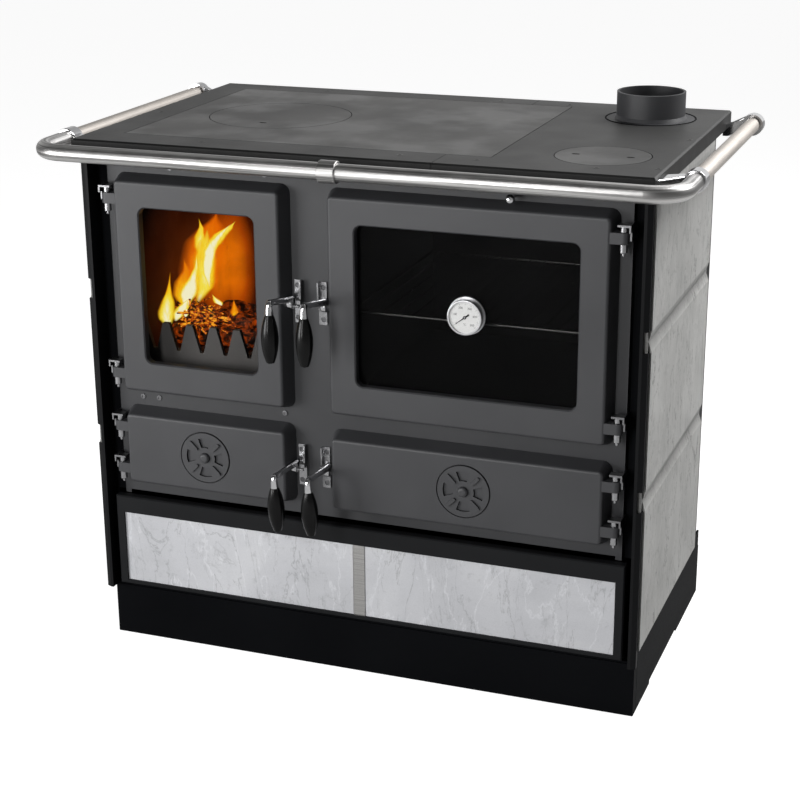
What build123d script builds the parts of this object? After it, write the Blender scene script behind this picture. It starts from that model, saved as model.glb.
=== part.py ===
"""Wood cookstove: steel and soapstone body, cast front and hob, four doors, a drawer and a towel rail.

Frame: millimetres, +Z up, front towards -Y. The origin lies on the floor, on the middle plane of the
stove, half way between the front of the door grips and the back edge of the hob.
"""
from build123d import *
from math import atan, cos, degrees, radians, sin
import os

# ---------------------------------------------------------------- hob (the cast top)
top_height = 850.0          # floor to cooking surface
top_width = 912.0
top_depth = 563.0
top_slab = 12.0             # thickness of the castings
top_rim = 25.0              # height of the rim round the hob
rim_wall = 7.0
top_bevel = 2.5
frame_seam_x = 130.0        # where the left and right frame castings meet
seam_gap = 0.8
cook_left_margin, cook_right_margin = 56.0, 256.0   # hob's edge to the well of the cooking plate
cook_front_set, cook_rear_margin = 66.0, 51.0
ledge = 12.0                # step that carries the loose plates
ledge_depth = 7.0
loose_gap = 1.3             # seam round a loose plate or lid
lift_gap = 0.3              # a loose casting over its step
big_lid_r, big_lid_in, big_lid_behind = 116.8, 169.0, 220.0     # from the well's left and front edges
small_lid_r, small_lid_in, small_lid_set = 71.6, 106.5, 129.0   # from the hob's right and front edges
lid_ledge = 8.0
lifter_length, lifter_width, lifter_depth = 12.0, 6.0, 4.0
big_lifter_reach, small_lifter_reach = 70.0, 41.0
lid_rib = 5.0               # ribs under the big lid

# ---------------------------------------------------------------- flue spigot
flue_r = 55.0
flue_wall = 4.0
flue_height = 43.5
flue_in, flue_rear_margin = 110.0, 111.0    # from the hob's right and back edges
flue_foot = 3.0
flue_flange_r, flue_flange_t, flue_seam = 70.5, 4.0, 1.6

# ---------------------------------------------------------------- body
stone_overhang = 1.5        # the hob stands out over the side slabs
stone_t = 12.0
stone_gap = 3.0             # slab to the web of the posts
slab_pitch = 245.0
slab_count = 3
groove_half, groove_depth = 16.0, 5.0   # bevels where two slabs meet
slab_front_set, slab_rear_margin = 19.5, 115.5
slab_rebate = 7.0           # strip of each slab under the lip of a post
post_nose_set = 14.0
post_t = 2.0
post_nose_width = 4.5
post_fold = 3.5             # depth of the slanted fold between nose and lip
lip_drop = 0.3              # gap between lip and slab
front_web = 41.0            # depth of a front post behind its nose
rear_margin = 46.0          # hob's back edge to the end of the body
rear_flange = 36.0
sheet = 3.0                 # steel of the inner body
side_flange = 32.0
back_step = 5.0             # back sheet in front of the body's end
tray_height, tray_out = 30.0, 1.5
plinth_height, plinth_inset = 88.0, 8.5
plinth_out, plinth_rear_out = 4.0, 4.0  # plinth past the front plate and past the body's end
plinth_t, plinth_flange = 2.0, 20.0
foot_front, foot_rear = 114.0, 171.0    # length of the plinth's sides that touches the floor
foot_rise = 6.0

# ---------------------------------------------------------------- cast front plate and its openings
plate_set, plate_t = 40.0, 8.0
plate_side_gap = 17.5       # plate to the inner side sheets
plate_over_drawer = 6.5
plate_foot_w, plate_foot_gap = 10.0, 0.5
deck_over_drawer = 32.0
opening_inset = 15.0        # a door covers its opening by this much
opening_r = 2.0

# ---------------------------------------------------------------- doors
door_gap = 0.3              # door castings clear of the front plate
door_depth, door_draft = 28.7, 9.0
door_r, door_edge_r = 15.0, 5.0
door_wall = 6.0
pier_x, pier_w = -77.5, 63.0            # middle and width of the pier between left and right doors
left_hinge_gap, right_hinge_gap = 7.5, 9.0      # pin to door edge
lower_door_rise, lower_door_height = 18.0, 133.0
door_step, door_below_top = 25.0, 55.0          # between lower and upper doors, upper door to hob
window_border = 51.5        # door outline to window
window_low_border = 57.0
window_top_border = 49.0
right_window_border = 53.0
window_r, window_soft = 12.0, 2.0
glass_set, glass_t, glass_lap, glass_seat = 14.0, 4.0, 8.0, 10.0
upper_lug_down, upper_lug_up = 37.3, 35.0       # lug centre from the door's top and bottom
lower_lug_down, lower_lug_up = 30.5, 30.5
lug_height, lug_r, lug_root = 16.5, 8.0, 14.0
pin_inset, pin_ahead = 9.0, 20.0        # pin inside the plate's edge and in front of its face
pin_r, run_clear = 4.0, 0.05
collar_r, collar_h = 5.2, 8.0
nut_r, nut_h, tip_r, tip_h = 5.6, 13.0, 2.4, 6.0
ear_t, strap_t, bracket_w, strap_below = 3.0, 2.4, 14.0, 4.0

# ---------------------------------------------------------------- latches
latch_offset, latch_ahead = 3.5, 14.5   # lever beside the door's outline and in front of the plate
upper_latch_drop, lower_latch_drop = 2.75, 0.5  # pivot below the door's middle
hub_r, hub_w, hub_soft = 9.8, 9.5, 2.5
stub_r, stub_boss_r = 4.0, 7.0
arm_reach, arm_rise, arm_root_up = 81.0, 20.5, 5.0
arm_r0, arm_r1 = 5.6, 5.0
elbow_r = 5.8
ferrule_top, ferrule_end = 16.0, 3.3
ferrule_r0, ferrule_r1 = 5.3, 6.4
grip_length, grip_r, grip_neck_r, grip_end_r = 74.6, 13.2, 6.2, 6.2
lower_droop = 6.0           # degrees that the lower levers hang down
cam_r, cam_out, cam_back, cam_drop = 2.6, 7.0, 4.0, 5.5     # pin on the hub that runs under the keeper
keeper_w, keeper_h, keeper_t = 13.0, 68.0, 3.0
keeper_offset = 11.6        # keeper centre from the door's outline
keeper_hole_r, keeper_pitch = 4.2, 51.0
nose_out, nose_up, nose_side = 10.0, 10.0, 1.5
fin_out, fin_t = 8.0, 2.5   # upright fin above the nose
nose_clear = 0.6

# ---------------------------------------------------------------- air rosettes
rosette_r, rosette_t, rosette_proud = 42.0, 3.5, 1.0
rosette_groove = 1.5
port_r0, port_r1, port_half = 17.0, 32.5, 20.0
rib_r0, rib_r1, rib_w, rib_h = 17.5, 36.5, 5.0, 3.4
dome_r, dome_h, dome_roof = 8.5, 6.0, 3.2
seat_floor, seat_margin = 4.0, 5.0

# ---------------------------------------------------------------- oven thermometer
dial_r, bezel_w, dial_depth = 27.0, 3.0, 2.4
dial_out = 14.0             # bezel in front of the glass
dial_foot_r, dial_foot_t = 29.0, 2.0
stem_r, stem_length, stem_clear = 4.0, 45.0, 0.3
spindle_r, spindle_h = 1.0, 1.6
needle_t, needle_hub_r, needle_length, needle_tail = 0.6, 2.4, 19.0, 8.0
needle_angle = 217.0        # where it points at rest, seen from the front

# ---------------------------------------------------------------- drawer
drawer_side_gap = 10.5      # front to the posts
drawer_rise, drawer_height = 10.5, 157.5
drawer_ahead, drawer_front_t = 18.5, 15.0
tile_side, tile_low, tile_top = 14.0, 7.0, 28.5     # frame strips round the tiles
tile_step, tile_t = 3.5, 8.0
divider_half, divider_out, divider_edge = 10.5, 1.5, 3.0
drawer_bevel = 2.0
box_inset, box_rear_gap, box_height, box_t = 29.0, 45.5, 98.0, 2.0
box_lift = 7.5              # box floor above the front's lower edge
runner_t, runner_w, runner_gap, runner_side_gap, runner_up = 2.5, 16.0, 0.3, 1.0, 8.0

# ---------------------------------------------------------------- towel rail
rail_r, rail_wall = 13.0, 1.5
rail_drop, rail_out = 14.0, 42.0        # axis under the cooking surface and in front of the hob
rail_side_out, rail_bend_r = 43.0, 48.0
front_joint_set = 70.0
side_tube_r = 12.0
socket_r, socket_half = 16.6, 13.0
sleeve_r, sleeve_half, sleeve_x = 16.8, 14.0, -11.0
arm_front_set, arm_back_set, arm_t = 18.0, 62.0, 15.0
cup_r, cup_length, cup_rear_margin = 17.2, 24.0, 49.0   # rear cup, its front end from the hob's back edge
cup_mouth_r, cup_mouth, cup_seat, cup_soft = 15.0, 4.0, 12.0, 4.0
web_t, web_out, web_fillet = 13.0, 6.0, 2.0
web_under, web_over, web_hook = 10.0, 9.0, 5.0  # the rear web below and above the rim's lower edge

# ---------------------------------------------------------------- fire side
casing_gap, casing_past, casing_rear_margin = 12.5, 21.0, 128.0
casing_below_top = 38.0
brick_t, brick_drop = 28.0, 10.0
grate_rise, grate_frame_t = 45.5, 14.0  # grate above the fire door's lower edge
grate_side, grate_ahead, grate_behind = 75.5, 70.0, 85.0
grate_step, grate_gap, grate_t = 8.0, 1.0, 8.0
slot_count, slot_w = 8, 9.0
retainer_behind, retainer_t, retainer_h, retainer_low = 16.0, 8.0, 66.0, 22.0
teeth, tooth_flat, valley_flat = 6, 11.0, 6.0
retainer_gap = 2.05         # retainer to the sides of the fire doorway
pan_gap, pan_behind, pan_rear_gap, pan_height, pan_t = 2.75, 18.0, 35.0, 80.0, 2.0
pan_grip_w, pan_grip_out, pan_grip_t = 90.0, 8.0, 3.0

# ---------------------------------------------------------------- oven side
oven_rear_margin = 93.0
rack_below = 22.75          # rack under the middle of the oven window
rack_r, rack_bar_r, rack_bars, rack_margin = 3.0, 2.0, 15, 6.0
rack_front_gap, rack_rear_gap = 20.0, 15.0
rail_rib = 6.0
storage_roof_drop = 10.5

# ---------------------------------------------------------------- damper
damper_x, damper_below_top = 245.0, 35.0
damper_rod_r, knob_r, knob_ahead = 3.0, 7.0, 28.0
rod_behind, guide_behind = 290.0, 190.0
guide_t, guide_w = 4.0, 24.0
flap_w, flap_d, flap_t, flap_gap = 120.0, 90.0, 3.0, 0.3

# ---------------------------------------------------------------- places that follow from the sizes above
half_top = top_width / 2
slab_z = top_height - top_slab          # underside of the castings, top of the inner body
rim_z = top_height - top_rim            # underside of the rim, top of the posts and slabs
stone_face_x = half_top - stone_overhang
post_inner_x = stone_face_x - stone_t - stone_gap
plinth_half_x = stone_face_x - plinth_inset
plate_half_x = post_inner_x - sheet - plate_side_gap
slab_bottom = plinth_height + tray_height
slab_back_set = top_depth - slab_rear_margin
rear_web_end_set = top_depth - rear_margin
back_set = rear_web_end_set - back_step
tray_front_set, plinth_front_set = plate_set - tray_out, plate_set - plinth_out
plinth_back_set = rear_web_end_set + plinth_rear_out
drawer_half_x, box_half_x = post_inner_x - drawer_side_gap, post_inner_x - drawer_side_gap - box_inset
drawer_z0 = plinth_height + drawer_rise
drawer_z1 = drawer_z0 + drawer_height
drawer_face_set = plate_set - drawer_ahead
tile_half_x, tile_z0, tile_z1 = drawer_half_x - tile_side, drawer_z0 + tile_low, drawer_z1 - tile_top
box_depth = back_set - box_rear_gap - drawer_face_set - drawer_front_t
plate_bottom = drawer_z1 + plate_over_drawer
deck_bottom = drawer_z1 + deck_over_drawer
hinge_x, hinge_set = plate_half_x - pin_inset, plate_set - pin_ahead
left_door_x0, left_door_x1 = -(hinge_x - left_hinge_gap), pier_x - pier_w / 2
right_door_x0, right_door_x1 = pier_x + pier_w / 2, hinge_x - right_hinge_gap
lower_z0 = plate_bottom + lower_door_rise
lower_z1 = lower_z0 + lower_door_height
upper_z0, upper_z1 = lower_z1 + door_step, top_height - door_below_top
latch_set = plate_set - latch_ahead
upper_latch_z = (upper_z0 + upper_z1) / 2 - upper_latch_drop
lower_latch_z = (lower_z0 + lower_z1) / 2 - lower_latch_drop
cook_x0, cook_x1 = -half_top + cook_left_margin, half_top - cook_right_margin
cook_back_set = top_depth - cook_rear_margin
big_lid_x, big_lid_set = cook_x0 + big_lid_in, cook_front_set + big_lid_behind
small_lid_x, flue_x = half_top - small_lid_in, half_top - flue_in
flue_set = top_depth - flue_rear_margin
rail_half_x = half_top + rail_side_out
cup_set = top_depth - cup_rear_margin
casing_x0, casing_x1 = -(post_inner_x - sheet - casing_gap), left_door_x1 + casing_past
casing_back_set = top_depth - casing_rear_margin
casing_top = slab_z - casing_below_top
brick_top = casing_top - brick_drop
grate_top = upper_z0 + grate_rise
grate_x0, grate_x1 = casing_x0 + grate_side, casing_x1 - grate_side
grate_front_set, grate_back_set = plate_set + grate_ahead, casing_back_set - grate_behind
retainer_set = plate_set + retainer_behind
retainer_top, retainer_valley = grate_top + retainer_h, grate_top + retainer_low
pan_front_set, pan_back_set = plate_set + pan_behind, casing_back_set - pan_rear_gap
tooth_pitch = (left_door_x1 - left_door_x0 - 2 * (opening_inset + retainer_gap) - tooth_flat) / teeth
pan_x0, pan_x1 = left_door_x0 + opening_inset + pan_gap, left_door_x1 - opening_inset - pan_gap
oven_back_set = top_depth - oven_rear_margin
rack_front_set, rack_back_set = plate_set + rack_front_gap, oven_back_set - rack_rear_gap
rack_z = (upper_z0 + window_low_border + upper_z1 - window_top_border) / 2 - rack_below
storage_roof = lower_z1 - storage_roof_drop
damper_z = slab_z - damper_below_top
knob_set, guide_set = plate_set - knob_ahead, plate_set + guide_behind
damper_rod_end_set = plate_set + rod_behind

# The grips reach furthest forward, so half of the whole depth lies behind the origin.
front_reach = arm_reach + grip_r - latch_set
top_front_y = -(top_depth - front_reach) / 2    # front edge of the hob, where every set back starts


def back(distance):
    """Y of a plane that lies this far behind the hob's front edge."""
    return top_front_y + distance


def block(x0, x1, y0, y1, z0, z1):
    return Pos((x0 + x1) / 2, (y0 + y1) / 2, (z0 + z1) / 2) * Box(x1 - x0, y1 - y0, z1 - z0)


def shell(x0, x1, y0, y1, z0, z1, wall, open_front=False, open_top=False):
    """A sheet box, open at the front or at the top."""
    inner_y0 = y0 - wall if open_front else y0 + wall
    inner_z1 = z1 + wall if open_top else z1 - wall
    room = block(x0 + wall, x1 - wall, inner_y0, y1 - wall, z0 + wall, inner_z1)
    return block(x0, x1, y0, y1, z0, z1) - room


def rod(x, y, z, radius, length, axis):
    """A cylinder that starts at x, y, z and runs along +X, +Y or +Z."""
    turn = {"x": Rot(0, 90, 0), "y": Rot(-90, 0, 0), "z": Rot(0, 0, 0)}[axis]
    return Pos(x, y, z) * turn * Pos(0, 0, length / 2) * Cylinder(radius, length)


def front_view(x, y, z):
    """A plane seen from the front: X to the right, Z up, normal towards -Y."""
    return Plane(origin=(x, y, z), x_dir=(1, 0, 0), z_dir=(0, -1, 0))


def plan_view(z):
    return Plane(origin=(0, 0, z), x_dir=(1, 0, 0), z_dir=(0, 0, 1))


def both_sides(piece):
    return Compound(children=[piece, mirror(piece, Plane.YZ)])


def group(pieces):
    return Compound(children=list(pieces))


parts = {}

# ---------------------------------------------------------------- values that several pieces share
floor_top = plinth_height + sheet
deck_top = deck_bottom + sheet
plate_back = back(plate_set + plate_t)
door_back_y = back(plate_set - door_gap)
door_face_y = door_back_y - door_depth
sides = {"fire_door": (left_door_x0, left_door_x1), "ash_door": (left_door_x0, left_door_x1),
         "oven_door": (right_door_x0, right_door_x1), "storage_door": (right_door_x0, right_door_x1)}
heights = {"fire_door": (upper_z0, upper_z1), "ash_door": (lower_z0, lower_z1),
           "oven_door": (upper_z0, upper_z1), "storage_door": (lower_z0, lower_z1)}
lugs = {name: (z0 + (upper_lug_up if z0 == upper_z0 else lower_lug_up),
               z1 - (upper_lug_down if z0 == upper_z0 else lower_lug_down))
        for name, (z0, z1) in heights.items()}
openings = {name: (sides[name][0] + opening_inset, sides[name][1] - opening_inset,
                   heights[name][0] + opening_inset, heights[name][1] - opening_inset) for name in sides}
borders = {"fire_door": window_border, "oven_door": right_window_border}


# ---------------------------------------------------------------- plinth and inner body
def plinth():
    x, front, rear = plinth_half_x, back(plinth_front_set), back(plinth_back_set)

    def channel(y0, y1, inner_y0, inner_y1):
        return block(-x, x, y0, y1, 0, plinth_height) - block(-x - 1, x + 1, inner_y0, inner_y1,
                                                             plinth_t, plinth_height - plinth_t)

    flange = plinth_flange
    parts["plinth_front"] = channel(front, front + flange, front + plinth_t, front + flange + 1)
    parts["plinth_back"] = channel(rear - flange, rear, rear - flange - 1, rear - plinth_t)
    side = block(x - flange, x, front + flange, rear - flange, 0, plinth_height)
    side -= block(x - flange - 1, x - plinth_t, front, rear, plinth_t, plinth_height - plinth_t)
    side -= block(x - flange - 1, x + 1, front + foot_front, rear - foot_rear, -1, foot_rise)
    parts["plinth_sides"] = both_sides(side)


def body_sheets():
    x, front, rear = plinth_half_x, back(tray_front_set), back(rear_web_end_set)
    tray = block(-x, x, front, rear, plinth_height, slab_bottom)
    parts["base_tray"] = tray - block(-x + sheet, x - sheet, front - 1, rear + 1, floor_top, slab_bottom + 1)
    inner = post_inner_x - sheet
    parts["deck_plate"] = block(-inner, inner, plate_back + sheet, back(back_set), deck_bottom, deck_top)
    parts["back_panel"] = block(-post_inner_x, post_inner_x, back(back_set), back(back_set) + sheet,
                                floor_top, slab_z)
    web = block(inner, post_inner_x, plate_back, back(back_set), floor_top, slab_z)
    flange = block(inner - side_flange, inner, plate_back, plate_back + sheet, drawer_z1 + runner_t, slab_z)
    parts["side_panels"] = both_sides(web + flange)


def joint_heights():
    return [slab_bottom + slab_pitch * k for k in range(1, slab_count)]


def post_profile(nose_y, inwards, web_end):
    """Folded section seen from above: web, nose and the lip that laps over the slabs."""
    x0, x1 = post_inner_x, post_inner_x + post_t
    floor_x = stone_face_x - groove_depth + lip_drop    # the lip lies just off the rebate
    lip_x = floor_x + post_t
    lip_start = nose_y + inwards * post_fold
    lip_end = nose_y + inwards * (slab_front_set - post_nose_set + slab_rebate - lip_drop)
    nose_x = x0 + post_nose_width
    nose_inner = nose_y + inwards * post_t * 0.7
    outer = [(x0, nose_y), (nose_x, nose_y), (lip_x, lip_start), (lip_x, lip_end), (floor_x, lip_end)]
    inner = [(floor_x, lip_start + inwards * post_t / 2), (nose_x - post_t / 2, nose_inner),
             (x1, nose_inner), (x1, web_end), (x0, web_end)]
    return make_face(Polyline(*outer, *inner, close=True))


def posts():
    nose_front, nose_rear = back(post_nose_set), back(slab_back_set + slab_front_set - post_nose_set)
    rear_end = back(rear_web_end_set)
    front_face = post_profile(nose_front, 1, nose_front + front_web)
    rear_face = post_profile(nose_rear, -1, back(slab_back_set - slab_rebate))
    front_post = extrude(plan_view(floor_top) * front_face, rim_z - floor_top)
    rear_post = extrude(plan_view(slab_bottom) * rear_face, rim_z - slab_bottom)
    x1 = post_inner_x + post_t
    rear_post += block(post_inner_x, x1, nose_rear - post_t, rear_end, floor_top, rim_z)
    rear_post += block(x1 - rear_flange, x1, back(back_set) + sheet, rear_end, floor_top, rim_z)
    for z in joint_heights():   # the lip stops where two slabs meet, so the bevels run through
        notch = block(post_inner_x + post_nose_width + 0.5, stone_face_x + 1, back(0), back(top_depth),
                      z - groove_half, z + groove_half)
        front_post -= notch
        rear_post -= notch
    parts["front_posts"] = both_sides(front_post)
    parts["rear_posts"] = both_sides(rear_post)


def slabs():
    floor_x = stone_face_x - groove_depth
    x0 = stone_face_x - stone_t
    levels = [slab_bottom] + joint_heights() + [rim_z]
    right = []
    for low, high in zip(levels[:-1], levels[1:]):
        low_gap = lift_gap if low != slab_bottom else 0.0
        slab = block(x0, stone_face_x, back(slab_front_set + slab_rebate), back(slab_back_set - slab_rebate),
                     low + low_gap, high)
        slab += block(x0, floor_x, back(slab_front_set), back(slab_back_set), low + low_gap, high)
        for z in joint_heights():
            if z in (low, high):
                bevel = make_face(Polyline((floor_x, z), (stone_face_x + 1, z - groove_half * 1.2),
                                           (stone_face_x + 1, z + groove_half * 1.2), close=True))
                plane = Plane(origin=(0, back(0), 0), x_dir=(1, 0, 0), z_dir=(0, -1, 0))
                slab -= extrude(plane * bevel, -top_depth)
        right.append(slab)
    parts["right_stone_slabs"] = group(right)
    parts["left_stone_slabs"] = group(mirror(slab, Plane.YZ) for slab in right)


# ---------------------------------------------------------------- cast front plate
def front_plate():
    y0 = back(plate_set)
    plate = block(-plate_half_x, plate_half_x, y0, plate_back, plate_bottom, slab_z)
    foot_x, foot_z = plate_half_x - plate_foot_w, drawer_z1 + plate_foot_gap
    foot = block(foot_x, plate_half_x, y0, plate_back, foot_z, plate_bottom)
    plate += foot + mirror(foot, Plane.YZ)
    for x0, x1, z0, z1 in openings.values():
        hole = RectangleRounded(x1 - x0, z1 - z0, opening_r)
        plate -= extrude(front_view((x0 + x1) / 2, plate_back + 1, (z0 + z1) / 2) * hole, plate_t + 2)
    plate -= rod(damper_x, y0 - 1, damper_z, damper_rod_r + run_clear, plate_t + 2, "y")
    parts["front_plate"] = plate


# ---------------------------------------------------------------- hob castings
def lid_pair(x, y, radius, lifters, ribs):
    """A lid, and the stepped hole that it needs."""
    step_z = top_height - ledge_depth
    hole = Pos(x, y, top_height - ledge_depth / 2) * Cylinder(radius, ledge_depth)
    hole += rod(x, y, slab_z - 1, radius - lid_ledge, top_slab + 1, "z")
    lid_r = radius - loose_gap
    lid = rod(x, y, step_z + lift_gap, lid_r, ledge_depth - lift_gap, "z")
    lid += rod(x, y, slab_z, lid_r - lid_ledge, top_slab - ledge_depth + lift_gap, "z")
    if ribs:
        reach = lid_r - lid_ledge
        star = [Rot(0, 0, 60 * k) * Box(2 * reach - 4, lid_rib, lid_rib) for k in range(3)]
        for rib in star:
            lid += Pos(x, y, slab_z - lid_rib / 2) * rib
    for dx, dy in lifters:
        slot = SlotOverall(lifter_length, lifter_width)
        lid -= extrude(Plane(origin=(x + dx, y + dy, top_height - lifter_depth)) * slot, lifter_depth + 1)
    return lid, hole


def hob():
    half = half_top
    y0, y1 = back(0), back(top_depth)
    outer = block(-half, half, y0, y1, rim_z, top_height)
    outer = chamfer(outer.faces().sort_by(Axis.Z)[-1].edges(), top_bevel)
    frame = outer - block(-half + rim_wall, half - rim_wall, y0 + rim_wall, y1 - rim_wall, rim_z - 1, slab_z)
    cook_y0, cook_y1 = back(cook_front_set), back(cook_back_set)
    step_z = top_height - ledge_depth
    frame -= block(cook_x0, cook_x1, cook_y0, cook_y1, step_z, top_height + 1)
    frame -= block(cook_x0 + ledge, cook_x1 - ledge, cook_y0 + ledge, cook_y1 - ledge, slab_z - 1, top_height)

    small_y = back(small_lid_set)
    pair = [(-small_lifter_reach, 0), (small_lifter_reach, 0)]
    parts["small_lid"], small_hole = lid_pair(small_lid_x, small_y, small_lid_r, pair, False)
    frame -= small_hole
    flue_y = back(flue_set)
    seat_z = top_height - flue_flange_t
    frame -= rod(flue_x, flue_y, seat_z, flue_flange_r + flue_seam, flue_flange_t + 1, "z")
    frame -= rod(flue_x, flue_y, slab_z - 1, flue_r - flue_wall, top_slab + 2, "z")
    split = frame_seam_x
    parts["top_frame_left"] = frame & block(-half - 1, split - seam_gap / 2, y0 - 1, y1 + 1, rim_z - 1,
                                            top_height + 1)
    parts["top_frame_right"] = frame & block(split + seam_gap / 2, half + 1, y0 - 1, y1 + 1, rim_z - 1,
                                             top_height + 1)

    gap = loose_gap
    plate = block(cook_x0 + gap, cook_x1 - gap, cook_y0 + gap, cook_y1 - gap, step_z + lift_gap, top_height)
    inset = ledge + gap
    plate += block(cook_x0 + inset, cook_x1 - inset, cook_y0 + inset, cook_y1 - inset, slab_z,
                   step_z + lift_gap)
    big_y = back(big_lid_set)
    parts["big_lid"], big_hole = lid_pair(big_lid_x, big_y, big_lid_r, [(0, -big_lifter_reach)], True)
    parts["cooking_plate"] = plate - big_hole

    base_z = top_height - flue_flange_t
    outline = [(flue_r - flue_wall, base_z), (flue_flange_r, base_z), (flue_flange_r, top_height),
               (flue_r + flue_foot, top_height), (flue_r, top_height + 2 * flue_foot),
               (flue_r, top_height + flue_height), (flue_r - flue_wall, top_height + flue_height)]
    spigot = revolve(Plane.XZ * make_face(Polyline(*outline, close=True)), Axis.Z)
    parts["flue_spigot"] = Pos(flue_x, flue_y, 0) * spigot


# ---------------------------------------------------------------- doors
def door_blank(name):
    """Hollow casting with drafted flanks and a soft front edge."""
    x0, x1 = sides[name]
    z0, z1 = heights[name]
    cx, cz, width, height = (x0 + x1) / 2, (z0 + z1) / 2, x1 - x0, z1 - z0
    taper = degrees(atan(door_draft / door_depth))
    blank = extrude(front_view(cx, door_back_y, cz) * RectangleRounded(width, height, door_r),
                    door_depth, taper=taper)
    blank = fillet(blank.faces().sort_by(Axis.Y)[0].edges(), door_edge_r)
    cavity = RectangleRounded(width - 2 * door_wall, height - 2 * door_wall, door_r - door_wall / 2)
    blank -= extrude(front_view(cx, door_back_y, cz) * cavity, door_depth - door_wall, taper=taper)
    return blank, cx, cz


def window(name):
    """Window rectangle of a glazed door: x0, x1, z0, z1."""
    x0, x1 = sides[name]
    z0, z1 = heights[name]
    side = borders[name] - 2.0
    return x0 + side, x1 - side, z0 + window_low_border, z1 - window_top_border


def glaze(blank, name):
    x0, x1, z0, z1 = window(name)
    cx, cz, width, height = (x0 + x1) / 2, (z0 + z1) / 2, x1 - x0, z1 - z0
    wall_y = door_face_y + door_wall
    glass_y = door_face_y + glass_set
    seat = RectangleRounded(width + 2 * glass_seat, height + 2 * glass_seat, window_r + glass_seat)
    blank += extrude(front_view(cx, glass_y, cz) * seat, glass_y - wall_y + 0.5)
    hole = extrude(front_view(cx, glass_y + 1, cz) * RectangleRounded(width, height, window_r), glass_set + 2)
    blank -= hole
    rim = [e for e in blank.edges().group_by(Axis.Y)[0] if abs(e.center().X - cx) <= width / 2 + 1
           and abs(e.center().Z - cz) <= height / 2 + 1]
    blank = chamfer(rim, window_soft)
    lap = RectangleRounded(width + 2 * glass_lap, height + 2 * glass_lap, window_r)
    pane = extrude(front_view(cx, glass_y + glass_t, cz) * lap, glass_t)
    return blank, pane


def add_lugs(blank, name):
    """Hinge lugs that reach round the pins."""
    sign = -1 if name in ("fire_door", "ash_door") else 1
    pin_x, pin_y = sign * hinge_x, back(hinge_set)
    edge = sides[name][0] if sign < 0 else sides[name][1]
    root_x = edge - sign * lug_root
    for z in lugs[name]:
        low, high = sorted((root_x, pin_x))
        lug = block(low, high, pin_y - lug_r, pin_y + lug_r, z - lug_height / 2, z + lug_height / 2)
        lug += rod(pin_x, pin_y, z - lug_height / 2, lug_r, lug_height, "z")
        blank += lug
        blank -= rod(pin_x, pin_y, z - lug_height, pin_r + run_clear, 2 * lug_height, "z")
    return blank


def latch_place(name):
    """Pivot point of a door's lever, and the side on which the lever stands."""
    sign = 1 if name in ("fire_door", "ash_door") else -1
    edge = sides[name][1] if sign > 0 else sides[name][0]
    z = upper_latch_z if name in ("fire_door", "oven_door") else lower_latch_z
    return edge + sign * latch_offset, back(latch_set), z, sign, edge


def add_stub(blank, name):
    """Boss and journal on the free flank, on which the lever turns."""
    x, y, z, sign, edge = latch_place(name)
    hub_in, hub_out = x - sign * hub_w / 2, x + sign * hub_w / 2
    boss_root = edge - sign * (door_draft + 4.0)
    low, high = sorted((boss_root, hub_in - sign * door_gap))
    blank += rod(low, y, z, stub_boss_r, high - low, "x")
    low, high = sorted((hub_in - sign * 2, hub_out - sign * 1.0))
    blank += rod(low, y, z, stub_r, high - low, "x")
    return blank


def lever(name):
    """Latch lever: hub, rising arm, elbow, ferrule and the cam pin that runs under the keeper."""
    x, y, z, sign, edge = latch_place(name)
    droop = 0.0 if name in ("fire_door", "oven_door") else lower_droop
    hub = rod(-hub_w / 2, 0, 0, hub_r, hub_w, "x")
    hub = fillet(hub.edges().filter_by(GeomType.CIRCLE), hub_soft)
    turn_y, turn_z = -arm_reach + elbow_r, arm_rise
    climb = turn_z - arm_root_up
    length = (turn_y ** 2 + climb ** 2) ** 0.5
    tilt = degrees(atan(climb / -turn_y))
    arm = Pos(0, 0, arm_root_up) * Rot(90 - tilt, 0, 0) * Pos(0, 0, length / 2) * Cone(arm_r0, arm_r1, length)
    arm = arm & Box(hub_w, 3 * arm_reach, 3 * arm_reach)    # no wider than the hub
    quarter = Pos(0, -elbow_r, elbow_r) * Box(4 * arm_r1, 2 * elbow_r, 2 * elbow_r)
    bend = Pos(0, turn_y, turn_z - elbow_r) * (Rot(0, 90, 0) * Torus(elbow_r, arm_r1) & quarter)
    knee = Pos(0, turn_y, turn_z) * Sphere(arm_r1)
    stem = rod(0, -arm_reach, ferrule_top - 1, arm_r1, arm_rise - elbow_r - ferrule_top + 1.5, "z")
    ferrule_h = ferrule_top - ferrule_end
    ferrule = Pos(0, -arm_reach, ferrule_end + ferrule_h / 2) * Cone(ferrule_r1, ferrule_r0, ferrule_h)
    swing = arm + bend + knee + stem + ferrule
    profile = [(0, ferrule_end), (grip_neck_r, ferrule_end), (grip_end_r, ferrule_end - grip_length),
               (0, ferrule_end - grip_length)]
    widest = (grip_r, ferrule_end - 0.45 * grip_length)
    edges = [Line(profile[0], profile[1]), ThreePointArc(profile[1], widest, profile[2]),
             Line(profile[2], profile[3]), Line(profile[3], profile[0])]
    grip = Pos(0, -arm_reach, 0) * revolve(Plane.XZ * make_face(edges), Axis.Z)
    place = Pos(x, y, z)
    hang = Rot(droop, 0, 0)
    low, high = sorted((sign * hub_w / 2, sign * (hub_w / 2 + cam_out)))
    cam = place * rod(low, cam_back, -cam_drop, cam_r, high - low, "x")
    body = place * (hub + hang * swing)
    body -= rod(x - hub_w, y, z, stub_r + run_clear, 2 * hub_w, "x") & \
        block(*sorted((x - sign * hub_w, x + sign * (hub_w / 2 - 0.6))), y - 20, y + 20, z - 20, z + 20)
    return group([body, cam]), place * hang * grip


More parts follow.
